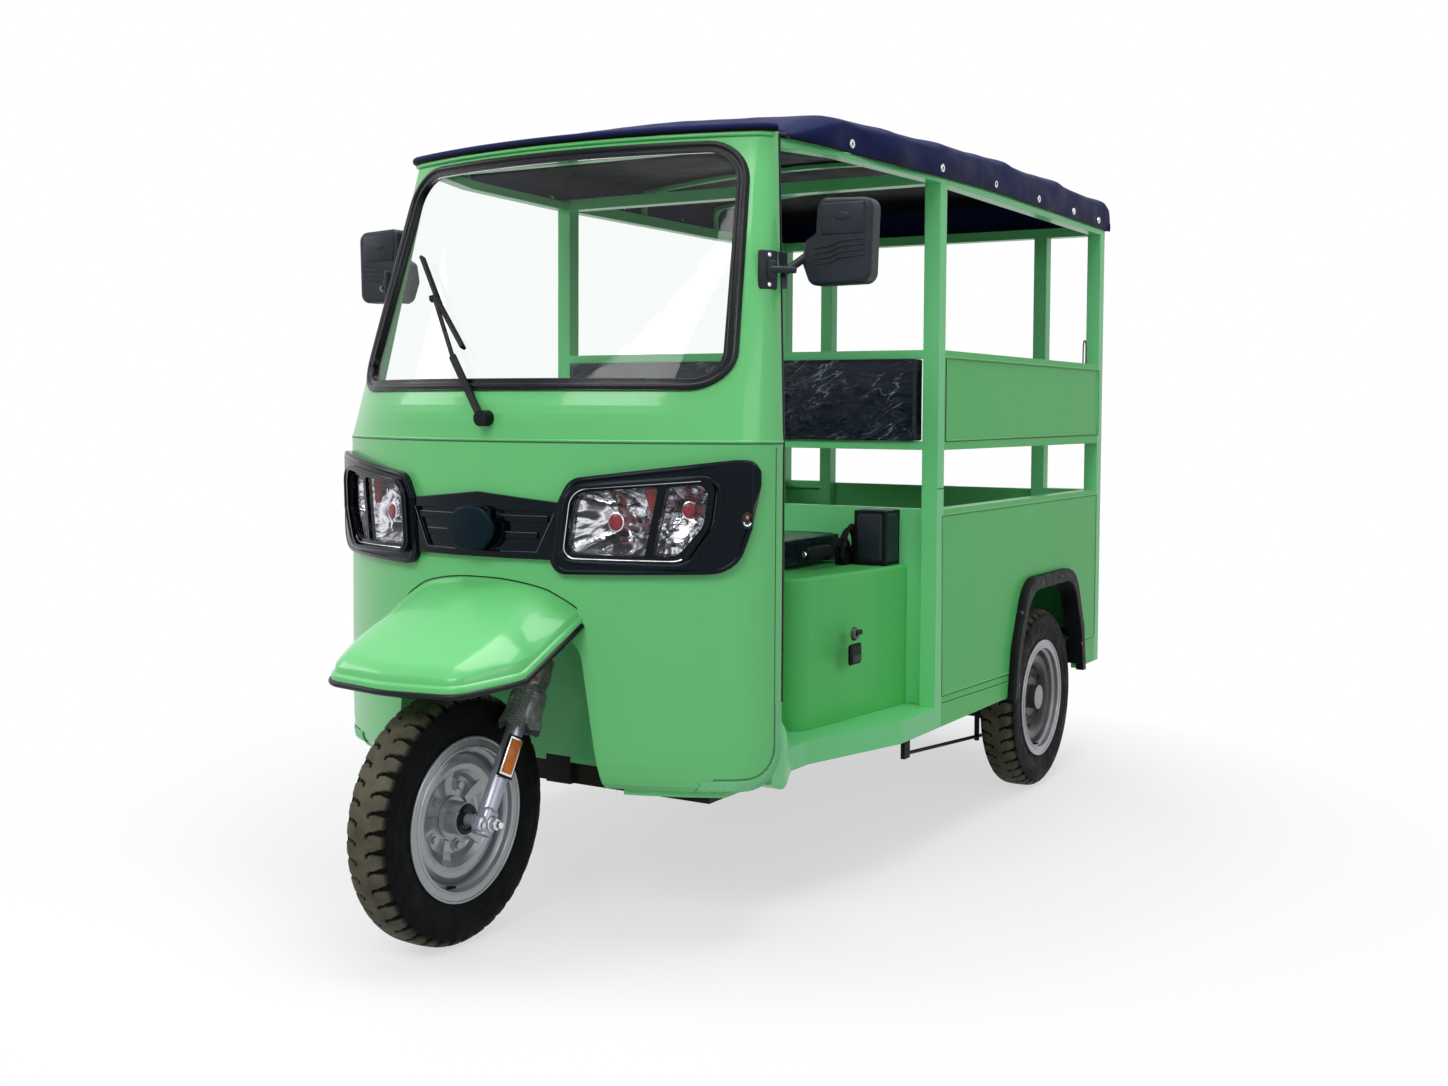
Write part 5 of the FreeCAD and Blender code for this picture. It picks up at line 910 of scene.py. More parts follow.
def make_roof():
    """One continuous sheet from hem to hem, sagging between the bows, with its rear flap and front hem."""
    lengthwise, crosswise, top_share = 140, 80, 0.80
    vertices = []
    for i in range(lengthwise + 1):
        s = i / lengthwise
        for k in range(crosswise + 1):
            u = 2 * k / crosswise - 1
            side = copysign(1, u)
            flat = min(1.0, abs(u) / top_share)
            y = cab_front(flat * 0.50) * (1 - s) + 1.393 * s if s < 1 else 1.393
            half, hem, fold, rise = roof_at(y)
            gap = min(abs(y - bow) for bow in BOWS)
            sag = 0.012 * (1 - exp(-((gap / 0.12) ** 2)))
            corner = 0.020 - 0.009 * exp(-((gap / 0.040) ** 2))
            if abs(u) <= top_share:
                x = side * (half - 0.004) * flat
                z = fold + rise * (1 - flat * flat) - sag * (1 - flat ** 4)
                z -= corner * max(0.0, (flat - 0.90) / 0.10) ** 2
            else:
                down = (abs(u) - top_share) / (1 - top_share)
                z = (fold - corner) * (1 - down) + hem * down
                ripple = 0.006 * wobble(y * 7, side * 3, down) * sin(down * pi * 0.9)
                x = side * (half - 0.004 + 0.004 * sin(down * pi) + ripple)
            crumple = wobble(x * 4, y * 4, 2.0) * 0.004
            crumple += wobble(x * 13, y * 11, 5.0) * 0.0016
            z += crumple * (1 - 0.7 * (abs(u) > top_share))
            vertices.append(Vector((x, y, z)))
    row = crosswise + 1
    start = lengthwise * row
    drop_rows = 6
    for d in range(1, drop_rows + 1):
        for k in range(row):
            top = vertices[start + k]
            share = d / drop_rows
            z = top.z + (1.692 - top.z) * share
            wave = 1 + 0.8 * wobble(top.x * 6, share, 7)
            y = top.y + 0.001 + 0.003 * sin(share * pi) * wave
            vertices.append(Vector((top.x, min(y, 1.3965), min(z, top.z))))
    cover = mesh_object("roof_cover", vertices, quads(lengthwise + drop_rows + 1, row), 60)
    turn_outwards(cover.data, 1e-5, True)
    thicken(cover, 0.0025)
    subdivide(cover)
    apply_modifiers(cover, 60)
    dress(cover, "navy_canvas")
    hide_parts("roof_canopy")

    steel = Finish("eyelet_steel", (0.75, 0.76, 0.78), 0.25, 1.0).rough(0.15, 0.4, 80.0).material
    rings = []
    for y in EYELETS:
        half, hem = roof_at(y)[:2]
        for side in (1, -1):
            profile = [
                (-0.001, 0.0045), (0.0025, 0.0050), (0.0035, 0.0075), (0.0025, 0.0100), (-0.001, 0.0105)
            ]
            place = (side * (half - 0.001), y, hem + 0.022)
            rings.append(lathe("eyelet", profile, place, (side, 0, 0), 20, closed=True))
    dress(join("roof_eyelets", rings), steel, "fork_steel")

    edge = []
    for i in range(49):
        x = -0.500 + 1.0 * i / 48
        fold, rise = roof_at(cab_front(x))[2:]
        flat = abs(x) / 0.50
        z = fold + rise * (1 - flat * flat) - 0.012 - 0.012 * max(0, (flat - 0.85) / 0.15)
        edge.append(Vector((x, cab_front(x) + 0.002, z)))
    dress(sweep("roof_front_piping", edge, 0.0065, 10), "seal_rubber")


make_roof()

# Front fender

FENDER_PLAN = [
    (-0.238, -0.901, 0),
    (-0.222, -1.185, 0.120),
    (-0.160, -1.303, 0.057),
    (0.0, -1.321, 0.300),
    (0.160, -1.303, 0.057),
    (0.222, -1.185, 0.120),
    (0.238, -0.901, 0),
]


def between(table, y):
    """The value at y in a table of (y, value), in straight lines from row to row."""
    if y <= table[0][0]:
        return table[0][1]
    for (y0, v0), (y1, v1) in zip(table, table[1:]):
        if y <= y1:
            t = (y - y0) / (y1 - y0)
            return v0 + (v1 - v0) * t
    return table[-1][1]


def fender_low(y):
    """Lower edge of the fender."""
    if y > -1.176:
        return 0.650 + 0.5241 * (y + 1.031)
    return 0.574 + 0.1405 * (y + 1.176)


def make_fender():
    """Crowned beak with a rounded shoulder, steep sides and a flared lip with its rubber bead."""
    outline = [q for q in rounded(FENDER_PLAN, 0.0, 10, 0.012) if q.y < -1.034]
    outline.sort(key=lambda q: atan2(q.x, -q.y - 0.9))
    crown = [(-1.331, 0.5880), (-1.185, 0.6660), (-1.100, 0.7130), (-1.031, 0.7560), (-0.90, 0.800)]
    arch = [(-1.331, 0.010), (-1.185, 0.034), (-1.031, 0.058)]
    wall = [(-1.331, 0.013), (-1.290, 0.019), (-1.200, 0.044), (-1.130, 0.060), (-1.031, 0.071)]
    fall = [(-1.331, 0.010), (-1.250, 0.018), (-1.130, 0.031), (-1.031, 0.016)]

    def top(x, y, d):
        z = between(crown, y) - between(arch, y) * (x / 0.23) ** 2
        reach = between(wall, y)
        if d < reach:
            q = 1 - d / reach
            z -= between(fall, y) * (0.8 * q + 0.2 * q ** 4)
        return z

    def distance(x, y):
        best = 9.0
        for a, b in zip(outline, outline[1:]):
            ab = b - a
            t = max(0.0, min(1.0, (Vector((x, y)) - a).dot(ab) / ab.length_squared))
            best = min(best, (Vector((x, y)) - (a + ab * t)).length)
        return best

    n = len(outline)
    middle = Vector((0.0, -1.06))
    shares = [
        0.0, 0.006, 0.014, 0.024, 0.036, 0.050, 0.066, 0.09, 0.13, 0.20, 0.28, 0.38, 0.50, 0.62, 0.75, 0.88,
        1.0,
    ]
    vertices = []
    for q in outline:
        for t in shares:
            x, y = q.x * (1 - t), q.y + (middle.y - q.y) * t
            d = distance(x, y) if t < 0.5 else 1.0
            vertices.append(Vector((x, y, top(x, y, d))))
    row = len(shares)
    faces = quads(n, row)
    ends = []
    for k in (n - 1, 0):
        ring = []
        for j in range(row):
            v = vertices[k * row + j]
            y = cab_y(v.x, v.z) + 0.002
            z = v.z + (y - v.y) * 0.45
            ring.append(len(vertices))
            vertices.append(Vector((v.x * 1.004, cab_y(v.x, z) + 0.002, z)))
        for j in range(row - 1):
            faces.append((k * row + j, k * row + j + 1, ring[j + 1], ring[j]))
        ends.append(ring)
    base = len(vertices)
    skirt = []
    path_ids = [ends[1][0]] + [k * row for k in range(n)] + [ends[0][0]]
    path = [vertices[k] for k in path_ids]
    levels = ((0.021, 0.0020), (0.0165, 0.0030), (0.0135, 0.0075), (0.0110, 0.0090), (0.0010, 0.0094))
    for i, v in enumerate(path):
        a, b = path[max(0, i - 1)], path[min(len(path) - 1, i + 1)]
        along = (b - a).normalized()
        out = Vector((along.y, -along.x, 0)).normalized()
        if out.dot(Vector((v.x, v.y + 1.06, 0))) < 0:
            out = -out
        low = fender_low(v.y)
        for step, (lift, proud) in enumerate(levels):
            z = min(low + lift, v.z - 0.001 - 0.001 * step)
            skirt.append(v.xy.to_3d() + out * proud + Vector((0, 0, z)))
    vertices += skirt
    m = len(levels)
    for i in range(len(path) - 1):
        faces.append((path_ids[i], path_ids[i + 1], base + (i + 1) * m, base + i * m))
        for j in range(m - 1):
            a = base + i * m + j
            faces.append((a, a + m, a + m + 1, a + 1))
    shell = mesh_object("front_fender_shell", vertices, faces, 50)
    turn_outwards(shell.data, 1e-5, True)
    thicken(shell, 0.003)
    apply_modifiers(shell, 42)
    dress(shell, "body_green")
    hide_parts("front_fender")

    rim = [skirt[i * m + m - 1] + Vector((0, 0, -0.0050)) for i in range(len(path))]
    dress(sweep("fender_rubber_bead", rim, 0.0062, 12), "seal_rubber")
    seam = [vertices[i] + Vector((0, -0.0015, 0.001)) for i in ends[1][:-1] + ends[0][-2:0:-1]]
    dress(sweep("fender_joint", seam, 0.0016, 6), "seal_rubber")


make_fender()

# Cab trims

SCREEN = [(-0.512, 1.147, 0.075), (-0.462, 1.682, 0.100), (0.462, 1.682, 0.100), (0.512, 1.147, 0.075)]


def cab_loop(corners, inset, proud, steps=8, spacing=0.02, widest=0.6):
    """A closed line over the cab's surface along a rounded outline, no further out than widest."""
    loop = []
    for q in rounded(corners, inset, steps, spacing):
        x = max(-widest, min(widest, q.x))
        loop.append(off_cab(x, q.y, proud))
    return loop


# Where the doorway's lower front round has its middle, along the vehicle and in height
HEEL_Y, HEEL_Z = -0.848, 0.414


def heel_round(radius, steps, first=0):
    """Points of the doorway's heel from its upright edge to its sill."""
    angles = [pi / 2 * i / steps for i in range(first, steps + 1)]
    return [(HEEL_Y + radius * cos(a), HEEL_Z - radius * sin(a)) for a in angles]


def make_cab_trims():
    """Lips of the screen's seal, the crease under the screen and the edges of both doorways."""
    dress(sweep("screen_seal_lip", cab_loop(SCREEN, 0.007, 0.003), 0.0070, 12, closed=True), "seal_rubber")
    inner = cab_loop(SCREEN, 0.0205, 0.001)
    dress(sweep("screen_seal_inner_lip", inner, 0.0045, 10, closed=True), "seal_rubber")

    # Dark green for the panel gap at the crease, and painted shade along the doorway's fold.
    dark = Finish("panel_gap_and_fold_shade", (0.010, 0.060, 0.018), 0.5).rough(0.4, 0.6, 20.0).material
    dress(sweep("crease_gap", cab_ring(1.0388, 0.0), 0.0013, 6), dark, "body_green")
    dress(sweep("crease_bead", cab_ring(1.0430, -0.0008), 0.0030, 10), "body_green")

    pale = Finish("edge_strip_green", (0.20, 0.60, 0.28), 0.45, gloss=0.25).rough(0.35, 0.55, 40.0)
    # The strip's pale mint is its own colour; the dark green painted into the grooves between its ribs is
    # painted shade.
    ribs = pale.texture("Wave", "Fac", Scale=105.0, bands_direction="DIAGONAL")
    pale.paint(pale.ramp(ribs, [(0.10, (0.07, 0.34, 0.12)), (0.55, (0.26, 0.70, 0.36))]))
    pale.relief(ribs, 0.5, 0.0015)
    for side, name in SIDES:
        edge = []
        for i in range(33):
            z = 1.700 - (1.700 - 0.500) * i / 32
            half, rear = cab_plan(z)[1:3]
            edge.append(Vector((side * (half - 0.004), rear + 0.003, z)))
        dress(sweep(f"doorway_seal_{name}", edge, 0.0062, 10), "seal_rubber")

        path = [(-0.756, 0.500 - 0.002 * i) for i in range(43)]
        path += heel_round(0.092, 72, 1)
        path += [(HEEL_Y - 0.002 * i, 0.322) for i in range(1, 26)]
        vertices = []
        across = (
            (0.0000, -0.004), (0.0000, 0.0010), (0.0030, 0.0024), (0.0200, 0.0024), (0.0235, 0.0010),
            (0.0235, -0.001),
        )
        for i, (y, z) in enumerate(path):
            before, after = path[max(0, i - 1)], path[min(len(path) - 1, i + 1)]
            along = Vector((after[0] - before[0], after[1] - before[1])).normalized()
            inwards = Vector((along.y, -along.x))
            for reach, proud in across:
                at = Vector((y, z)) + inwards * reach
                vertices.append(cab_side(side, at.x, at.y, proud))
        edging = mesh_object(f"heel_edging_{name}", vertices, quads(len(path), len(across)), 30)
        thicken(edging, 0.0012)
        dress(edging, pale.material, "body_green")

        # Painted shade: a thin dark green line along the doorway's pressed fold.
        heights = [1.030 - 0.02 * i for i in range(30)]
        crease = [cab_side(side, cab_plan(z)[2] - 0.027, z, 0.0) for z in heights]
        fold = heel_round(0.065, 24) + [(HEEL_Y - 0.006 * i, 0.349) for i in range(1, 7)]
        crease += [cab_side(side, y, z, 0.0) for y, z in fold]
        dress(sweep(f"doorway_fold_{name}", crease, 0.0011, 6), dark, "body_green")


make_cab_trims()

# Lamps and grille

MAIN_LENS = [(0.2129, 0.812, 0.020), (0.2302, 0.936, 0.036), (0.3993, 0.952, 0.008), (0.3739, 0.808, 0.008)]
SIDE_LENS = [
    (0.4131, 0.951, 0.008), (0.4899, 0.959, 0.022), (0.4801, 0.872, 0.050), (0.4322, 0.808, 0.036),
    (0.3872, 0.811, 0.006),
]
BEZEL = [
    (0.1777, 0.768, 0.034), (0.1921, 0.905, 0.060), (0.2221, 0.966, 0.045), (0.5868, 1.014, 0.038),
    (0.5291, 0.775, 0.060),
]
BEZEL_FRAME = [
    (0.1962, 0.792, 0.032), (0.2118, 0.952, 0.050), (0.5078, 0.978, 0.034), (0.4968, 0.872, 0.060),
    (0.4472, 0.786, 0.046),
]
DIVIDER = [(0.4070, 0.952), (0.3935, 0.880), (0.3803, 0.808)]
WEDGE = [(0.362, 0.9445), (0.3915, 0.9475), (0.3865, 0.918), (0.3780, 0.893)]
WEDGE_FACES = [(0, 1, 2, 3), (7, 6, 5, 4), (0, 4, 5, 1), (1, 5, 6, 2), (2, 6, 7, 3), (3, 7, 4, 0)]
# Turned profiles of the lamps: distance out from the surface and radius, or share of the bulb's radius
BULB_CAP = [(-0.040, 0.55), (-0.016, 0.80), (-0.010, 1.0), (-0.006, 0.93), (-0.0035, 0.6), (-0.003, 0.0)]
BULB_RING = [(-0.018, 1.05), (-0.010, 1.12), (-0.009, 1.0), (-0.012, 0.95)]
PILOT = [(-0.03, 0.010), (-0.012, 0.0115), (-0.010, 0.008), (-0.016, 0.004), (-0.016, 0.0)]
MARKER_BASE = [(0.010, 0.0150), (0.0185, 0.0145), (0.0192, 0.0120), (0.0172, 0.0100), (0.0165, 0.0)]
MARKER_LENS = [(0.0170, 0.0075), (0.0205, 0.0066), (0.0230, 0.0036), (0.0236, 0.0)]
MARKER_BULB = [(0.0168, 0.0042), (0.0195, 0.0036), (0.0203, 0.0)]
LAMP_GROUP = [
    (0.2050, 0.802, 0.024), (0.2225, 0.944, 0.042), (0.4975, 0.967, 0.028), (0.4880, 0.872, 0.054),
    (0.4370, 0.800, 0.040),
]


def lamp_looks():
    """Finishes of the reflectors, the bulbs, the amber reflectors and the bright trim."""
    facet = Finish("lamp_facets", (0.85, 0.86, 0.88), 0.08, 0.9)
    # Painted reflections: the reflector's colour swings in stretched swirls between near black and near
    # white, standing for the dark and bright things it mirrors.
    reflection_swirl = facet.noise(13.0, 1.0, 3.4, (1.0, 0.4, 1.5))
    painted_reflection_tones = [(0.34, (0.03, 0.03, 0.035)), (0.41, (0.16, 0.16, 0.17)), (0.45, (0.42, 0.42, 0.44))]
    painted_reflection_tones += [(0.50, (0.66, 0.66, 0.68)), (0.56, (0.90, 0.90, 0.92)), (0.64, (0.40, 0.40, 0.42))]
    facet.paint(facet.ramp(reflection_swirl, painted_reflection_tones))
    facet.relief(facet.noise(20.0, 1.0, 2.5), 0.35, 0.006)
    red = Finish("bulb_red", (0.34, 0.003, 0.014), 0.25, coat=0.25, gloss=0.2)
    red.vary((0.10, 0.001, 0.004), 60.0, 0.8)
    amber = Finish("reflector_amber", (0.78, 0.19, 0.003), 0.3, coat=0.3, gloss=0.2)
    amber.vary((0.50, 0.095, 0.001), 70.0, 0.8)
    amber.relief(amber.texture("Voronoi", "Distance", Scale=260.0, Randomness=0.1), 0.6, 0.002)
    chrome = Finish("bright_trim", (0.72, 0.73, 0.75), 0.16, 1.0).rough(0.1, 0.28, 60.0)
    # Painted shade: the reflectors' faces that look to the rear are painted nearly black.
    facet.behind((0.006, 0.006, 0.007))
    return facet.material, red.material, amber.material, chrome.material


FACET, RED, AMBER, BRIGHT = lamp_looks()


def make_dish(name, corners, bulb, depth):
    """A faceted reflector that fills a lens opening, deepest at its bulb."""
    rim = rounded(corners, 0.0012, 4, 0.014)
    rings = [1.0, 0.97, 0.80, 0.62, 0.44, 0.27, 0.12]
    vertices = []
    for i, share in enumerate(rings):
        for k, q in enumerate(rim):
            x, z = bulb[0] + (q.x - bulb[0]) * share, bulb[1] + (q.y - bulb[1]) * share
            sunk = depth * (1 - share ** 2) ** 0.75 + 0.004 if i > 1 else (0.002 if i == 0 else 0.010)
            sunk += 0.0030 * wobble(k * 0.35, i * 0.9, bulb[0] * 40) * (i > 1)
            vertices.append(off_cab(x, z, -sunk))
    faces = quads(len(rings), len(rim), closed=True)
    faces.append(tuple(range(len(vertices) - len(rim), len(vertices))))
    dress(mesh_object(name, vertices, faces, 22), FACET, "lamp_chrome")


def make_headlamp(side, name):
    """Rims, trim line, both reflectors with their bulbs, the pilot lamp and what divides the lenses."""
    bezel, frame_rim, group, main_lens, side_lens = (
        on_side(corners, side) for corners in (BEZEL, BEZEL_FRAME, LAMP_GROUP, MAIN_LENS, SIDE_LENS)
    )
    outer = cab_loop(bezel, 0.006, 0.0125, 8, 0.015, 0.5465)
    dress(sweep(f"bezel_rim_{name}", outer, 0.0062, 12, closed=True), "fascia_black")
    inner = cab_loop(frame_rim, 0.0045, 0.0245, 8, 0.015)
    dress(sweep(f"bezel_frame_rim_{name}", inner, 0.0055, 12, closed=True), "fascia_black")
    line = cab_loop(group, 0.0, 0.0178, 8, 0.012)
    dress(sweep(f"lamp_trim_{name}", line, 0.0014, 6, closed=True), BRIGHT, "lamp_chrome")

    main, beside = (side * 0.307, 0.877), (side * 0.446, 0.903)
    make_dish(f"main_reflector_{name}", main_lens, main, 0.046)
    make_dish(f"side_reflector_{name}", side_lens, beside, 0.040)
    caps, rings = [], []
    for (x, z), w, h in ((main, 0.0150, 0.0180), (beside, 0.0135, 0.0165)):
        at, out = on_cab(x, z), cab_out(x, z)
        caps.append(disc_on("cap", at, out, [(a, r * w) for a, r in BULB_CAP], 16, (1, h / w), 25))
        rings.append(disc_on("ring", at, out, [(a, r * w) for a, r in BULB_RING], 24, (1, h / w), 30))
    dress(join(f"bulb_caps_{name}", caps), RED, "lamp_chrome")
    dress(join(f"bulb_rings_{name}", rings), BRIGHT, "lamp_chrome")
    x, z = side * 0.304, 0.842
    dress(disc_on(f"pilot_lamp_{name}", on_cab(x, z), cab_out(x, z), PILOT, 20), "fascia_black")
    corners = [off_cab(side * x, z, -sunk) for sunk in (0.004, 0.012) for x, z in WEDGE]
    dress(mesh_object(f"lamp_wedge_{name}", corners, WEDGE_FACES, 20), RED, "tail_lens")
    line = [off_cab(side * x, z, 0.0125) for x, z in DIVIDER]
    dress(sweep(f"lamp_divider_{name}", line, 0.0022, 8), "mirror_black", "fascia_black")


def make_marker(side, name):
    """The small lamp outside the bezel: dark base, bright crescent, clear lens and amber bulb."""
    x, z = side * 0.541, 0.884
    at, out = on_cab(x, z), cab_out(x, z)
    dress(
        disc_on(f"marker_base_{name}", at, out, MARKER_BASE, 28, (0.85, 1.15)), "mirror_black",
        "fascia_black",
    )
    across = UP.cross(out).normalized()
    up = out.cross(across)
    arc = []
    for i in range(15):
        a = radians(195 + 10 * i)
        arc.append(at + out * 0.0190 + across * (0.0080 * cos(a)) + up * (0.0105 * sin(a)))
    dress(sweep(f"marker_rim_{name}", arc, 0.0019, 8), BRIGHT, "lamp_chrome")
    dress(disc_on(f"marker_lens_{name}", at, out, MARKER_LENS, 28, (0.85, 1.15), 60), "lens_clear")
    bulb = disc_on(f"marker_bulb_{name}", at + Vector((0, 0, 0.007)), out, MARKER_BULB, 14)
    dress(bulb, AMBER, "tail_lens")


def make_grille():
    """The plain lobed roundel and painted highlights along the edges of the bar and its slats."""
    cap, around = [], 40
    levels = ((0.031, 1.0), (0.0365, 1.0), (0.0395, 0.955), (0.0405, 0.90))
    for level, scale in levels:
        for k in range(around):
            a = 2 * pi * k / around
            bulge = 1 + 0.018 * cos(6 * a)
            x, z = 0.0620 * scale * bulge * cos(a), 0.857 + 0.0475 * scale * bulge * sin(a)
            cap.append(Vector((x, cab_y(0, z) - level + 0.0016 * (x / 0.06) ** 2, z)))
    faces = quads(len(levels), around, closed=True)
    faces.append(tuple(range(len(cap) - around, len(cap))))
    roundel = mesh_object("grille_roundel", cap, faces, 20)
    navy = Finish("roundel_navy", (0.0006, 0.0085, 0.0165), 0.34, gloss=0.08).rough(0.30, 0.42, 8.0)
    dress(roundel, navy.rounded_edges(0.003).material, "fascia_black")
    edges = []
    for side in (1, -1):
        line = [(side * 0.187, 0.896), (side * 0.146, 0.812), (side * 0.060, 0.811)]
        edges.append(sweep("edge", [off_cab(x, z, 0.0120) for x, z in line], 0.0009, 6))
        for near, far, z in ((0.060, 0.170, 0.8865), (0.072, 0.146, 0.8515)):
            ridge = [off_cab(side * x, z, 0.0102) for x in (near, (near + far) / 2, far)]
            edges.append(sweep("ridge", ridge, 0.0008, 6))
    # Painted highlights: pale grey lines along the bar's edges and the slats' ridges, standing for light
    # catching them.
    worn = Finish("painted_edge_highlight", (0.09, 0.10, 0.11), 0.35, 0.3, gloss=0.3).rough(0.3, 0.45, 60.0)
    dress(join("grille_edges", edges), worn.material, "fascia_black")


for side, name in SIDES:
    make_headlamp(side, name)
    make_marker(side, name)
make_grille()

# Fork details


def make_fork_details():
    """Wrapped upper legs with their tape, the amber reflector, axle clamps, nuts and spacers."""
    wraps = []
    for side in (1, -1):
        vertices = []
        around, up = 56, 44
        for j in range(up + 1):
            t = j / up
            for k in range(around):
                a = 2 * pi * k / around
                c, s = cos(a), sin(a)
                ragged = 0.016 * wobble(c * 2, s * 2, 9.0 * side)
                w = 0.206 + ragged * (1 - t) + (0.362 - 0.206) * t
                r = 0.0400 - 0.0075 * t + 0.0050 * wobble(c * 1.6, s * 1.6, w * 26 + side * 5)
                r += 0.0022 * wobble(c * 4, s * 4, w * 70)
                r += 0.0050 * max(0.0, 1 - t / 0.20) ** 1.5 - 0.004 * exp(-((t - 0.62) / 0.06) ** 2)
                across = max(0.0612, 0.101 - 0.006 * t + r * c)
                vertices.append(steer(side * across, -0.040 + r * s, w))
        wrap = mesh_object("wrap", vertices, quads(up + 1, around, closed=True), 80)
        thicken(wrap, 0.0018)
        wraps.append(wrap)
    both = join("fork_wraps", wraps, 70)
    dress(both, "sleeve_plastic", body="steering")
    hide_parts("fork_sleeves")

    band = Finish("tape_red", (0.30, 0.010, 0.020), 0.4).vary((0.12, 0.03, 0.03), 50.0, 0.9).material
    loop = []
    for k in range(9):
        a = radians(-150 + k * 14)
        loop.append(steer(0.099 + 0.0365 * cos(a), -0.040 + 0.0365 * sin(a), 0.322 - 0.0018 * k))
    dress(sweep("wrap_tape", loop, 0.0032, 8), band, "tail_lens", "steering")

    out = Vector((0.88, -0.475, 0)).normalized()
    across = Vector((0.475, 0.88, 0)).normalized()
    axes = [sum((Vector(s) * c for s, c in zip(STEER_AXES, a)), Vector()) for a in (across, UP, out)]
    centre = steer(0.092 + 0.0205, -0.040 - 0.0108, 0.140)
    for name, lift, size, radius, look, slot in (
        ("reflector_plate", 0.0, (0.036, 0.090, 0.006), 0.002, "black_plastic", "black_plastic"),
        ("reflector_rim", 0.0030, (0.030, 0.082, 0.004), 0.0018, BRIGHT, "lamp_chrome"),
        ("reflector", 0.0050, (0.024, 0.073, 0.006), 0.0022, AMBER, "tail_lens"),
    ):
        dress(box_on(name, centre + axes[2] * lift, axes, size, radius), look, slot, "steering")

    clamps, nuts = [], []
    for side in (1, -1):
        clamp, lug = steer(side * 0.097, -0.040, 0.004), steer(side * 0.096, -0.060, -0.008)
        clamps.append(box_on("clamp", clamp, STEER_AXES, (0.030, 0.040, 0.058), 0.012, 5))
        clamps.append(box_on("lug", lug, STEER_AXES, (0.024, 0.016, 0.032), 0.006, 3))
        for x, r, long in ((0.1135, 0.0155, 0.003), (0.1165, 0.0128, 0.011)):
            profile = [(0, r * 0.96), (0.001, r), (long - 0.0015, r), (long, r * 0.86), (long, 0.0)]
            nuts.append(lathe(
                "nut", profile, steer(side * x, -0.040, 0), (side, 0, 0), 6 if r < 0.014 else 24, 25
            ))
        stub = [(0, 0.0075), (0.010, 0.0075), (0.0115, 0.006), (0.0115, 0.0)]
        nuts.append(lathe("stub", stub, steer(side * 0.1265, -0.040, 0), (side, 0, 0), 20, 30))
        pinch = [(0, 0.0060), (0.005, 0.0060), (0.006, 0.0050), (0.006, 0.0)]
        nuts.append(lathe("pinch", pinch, steer(side * 0.107, -0.062, -0.010), (side, 0, 0), 6, 25))
    dress(join("axle_clamps", clamps), "fork_steel", body="steering")
    dress(join("axle_nuts", nuts), BRIGHT, "fork_steel", "steering")
    spacers = []
    for side in (1, -1):
        profile = [(0, 0.0125), (0.020, 0.0125), (0.0205, 0.0145), (0.027, 0.0145)]
        spacers.append(lathe("spacer", profile, steer(side * 0.0475, -0.040, 0), (side, 0, 0), 24, 30))
    dress(join("axle_spacers", spacers), "fork_steel", body="steering")


make_fork_details()

# Wheel details


def wheel_details(name, centre, side, hub_out):
    """Rolled flange edges, the bead ledge, valve and hub seal on a rim's outer face."""
    turns = [2 * pi * k / 10 for k in range(10)]
    rings = []
    for x, r, thick in ((0.0478, 0.1685, 0.0032), (0.0474, 0.1495, 0.0036), (0.0330, 0.1405, 0.0022)):
        profile = [(side * (x + thick * cos(a)), r + thick * sin(a)) for a in turns]
        rings.append(lathe("roll", profile, centre, (1, 0, 0), 96, 60, closed=True))
    dress(join(f"{name}_rolls", rings, 60), "silver_wheel", body=name)
    if hub_out:
        seal = [(0, 0.0325), (0.003, 0.0310), (0.0035, 0.0240), (0.001, 0.0215), (0.001, 0.0160)]
        seal = [(side * (hub_out + a), r) for a, r in seal]
        dress(lathe(f"{name}_hub_seal", seal, centre, (1, 0, 0), 40, 30), "seal_rubber", body=name)
    valve = [(0, 0.0036), (0.012, 0.0034), (0.014, 0.0026), (0.020, 0.0026), (0.021, 0.0)]
    turn = radians(250)
    at = Vector(centre) + Vector((side * 0.036, 0.1415 * cos(turn), 0.1415 * sin(turn)))
    dress(
        lathe(f"{name}_valve", valve, at, (side, -0.25 * cos(turn), -0.25 * sin(turn)), 14, 30),
        "black_plastic", body=name,
    )


for wheel, centre, side, hub_out in WHEELS:
    wheel_details(f"{wheel}_wheel", centre, side, hub_out)

# Mirror details


def make_mirror_details():
    """Raised panel with a small oval boss and stepped ribs on both mirror backs."""
    oval = [(-0.001, 0.010), (0.0015, 0.0095), (0.0022, 0.006), (0.0010, 0.0)]
    for side, name in SIDES:
        middle = side * 0.651
        panel = rounded_box(
            "panel", (middle - 0.051, -0.6425, 1.478), (middle + 0.051, -0.632, 1.545), 0.004, 3
        )
        boss = disc_on("boss", (middle, -0.6425, 1.516), (0, -1, 0), oval, 24, (1.7, 0.75))
        ribs = []
        for i in range(4):
            z = 1.462 - i * 0.0115
            line = (
                (0.585, -0.6395, -0.010), (0.620, -0.6405, -0.008), (0.644, -0.6405, 0.002),
                (0.703, -0.6395, 0.006),
            )
            ribs.append(sweep("rib", [(side * x, y, z + lift) for x, y, lift in line], 0.0024, 8))
        dress(join(f"mirror_relief_{name}", [panel, boss] + ribs), "mirror_black")


make_mirror_details()

# Small fittings

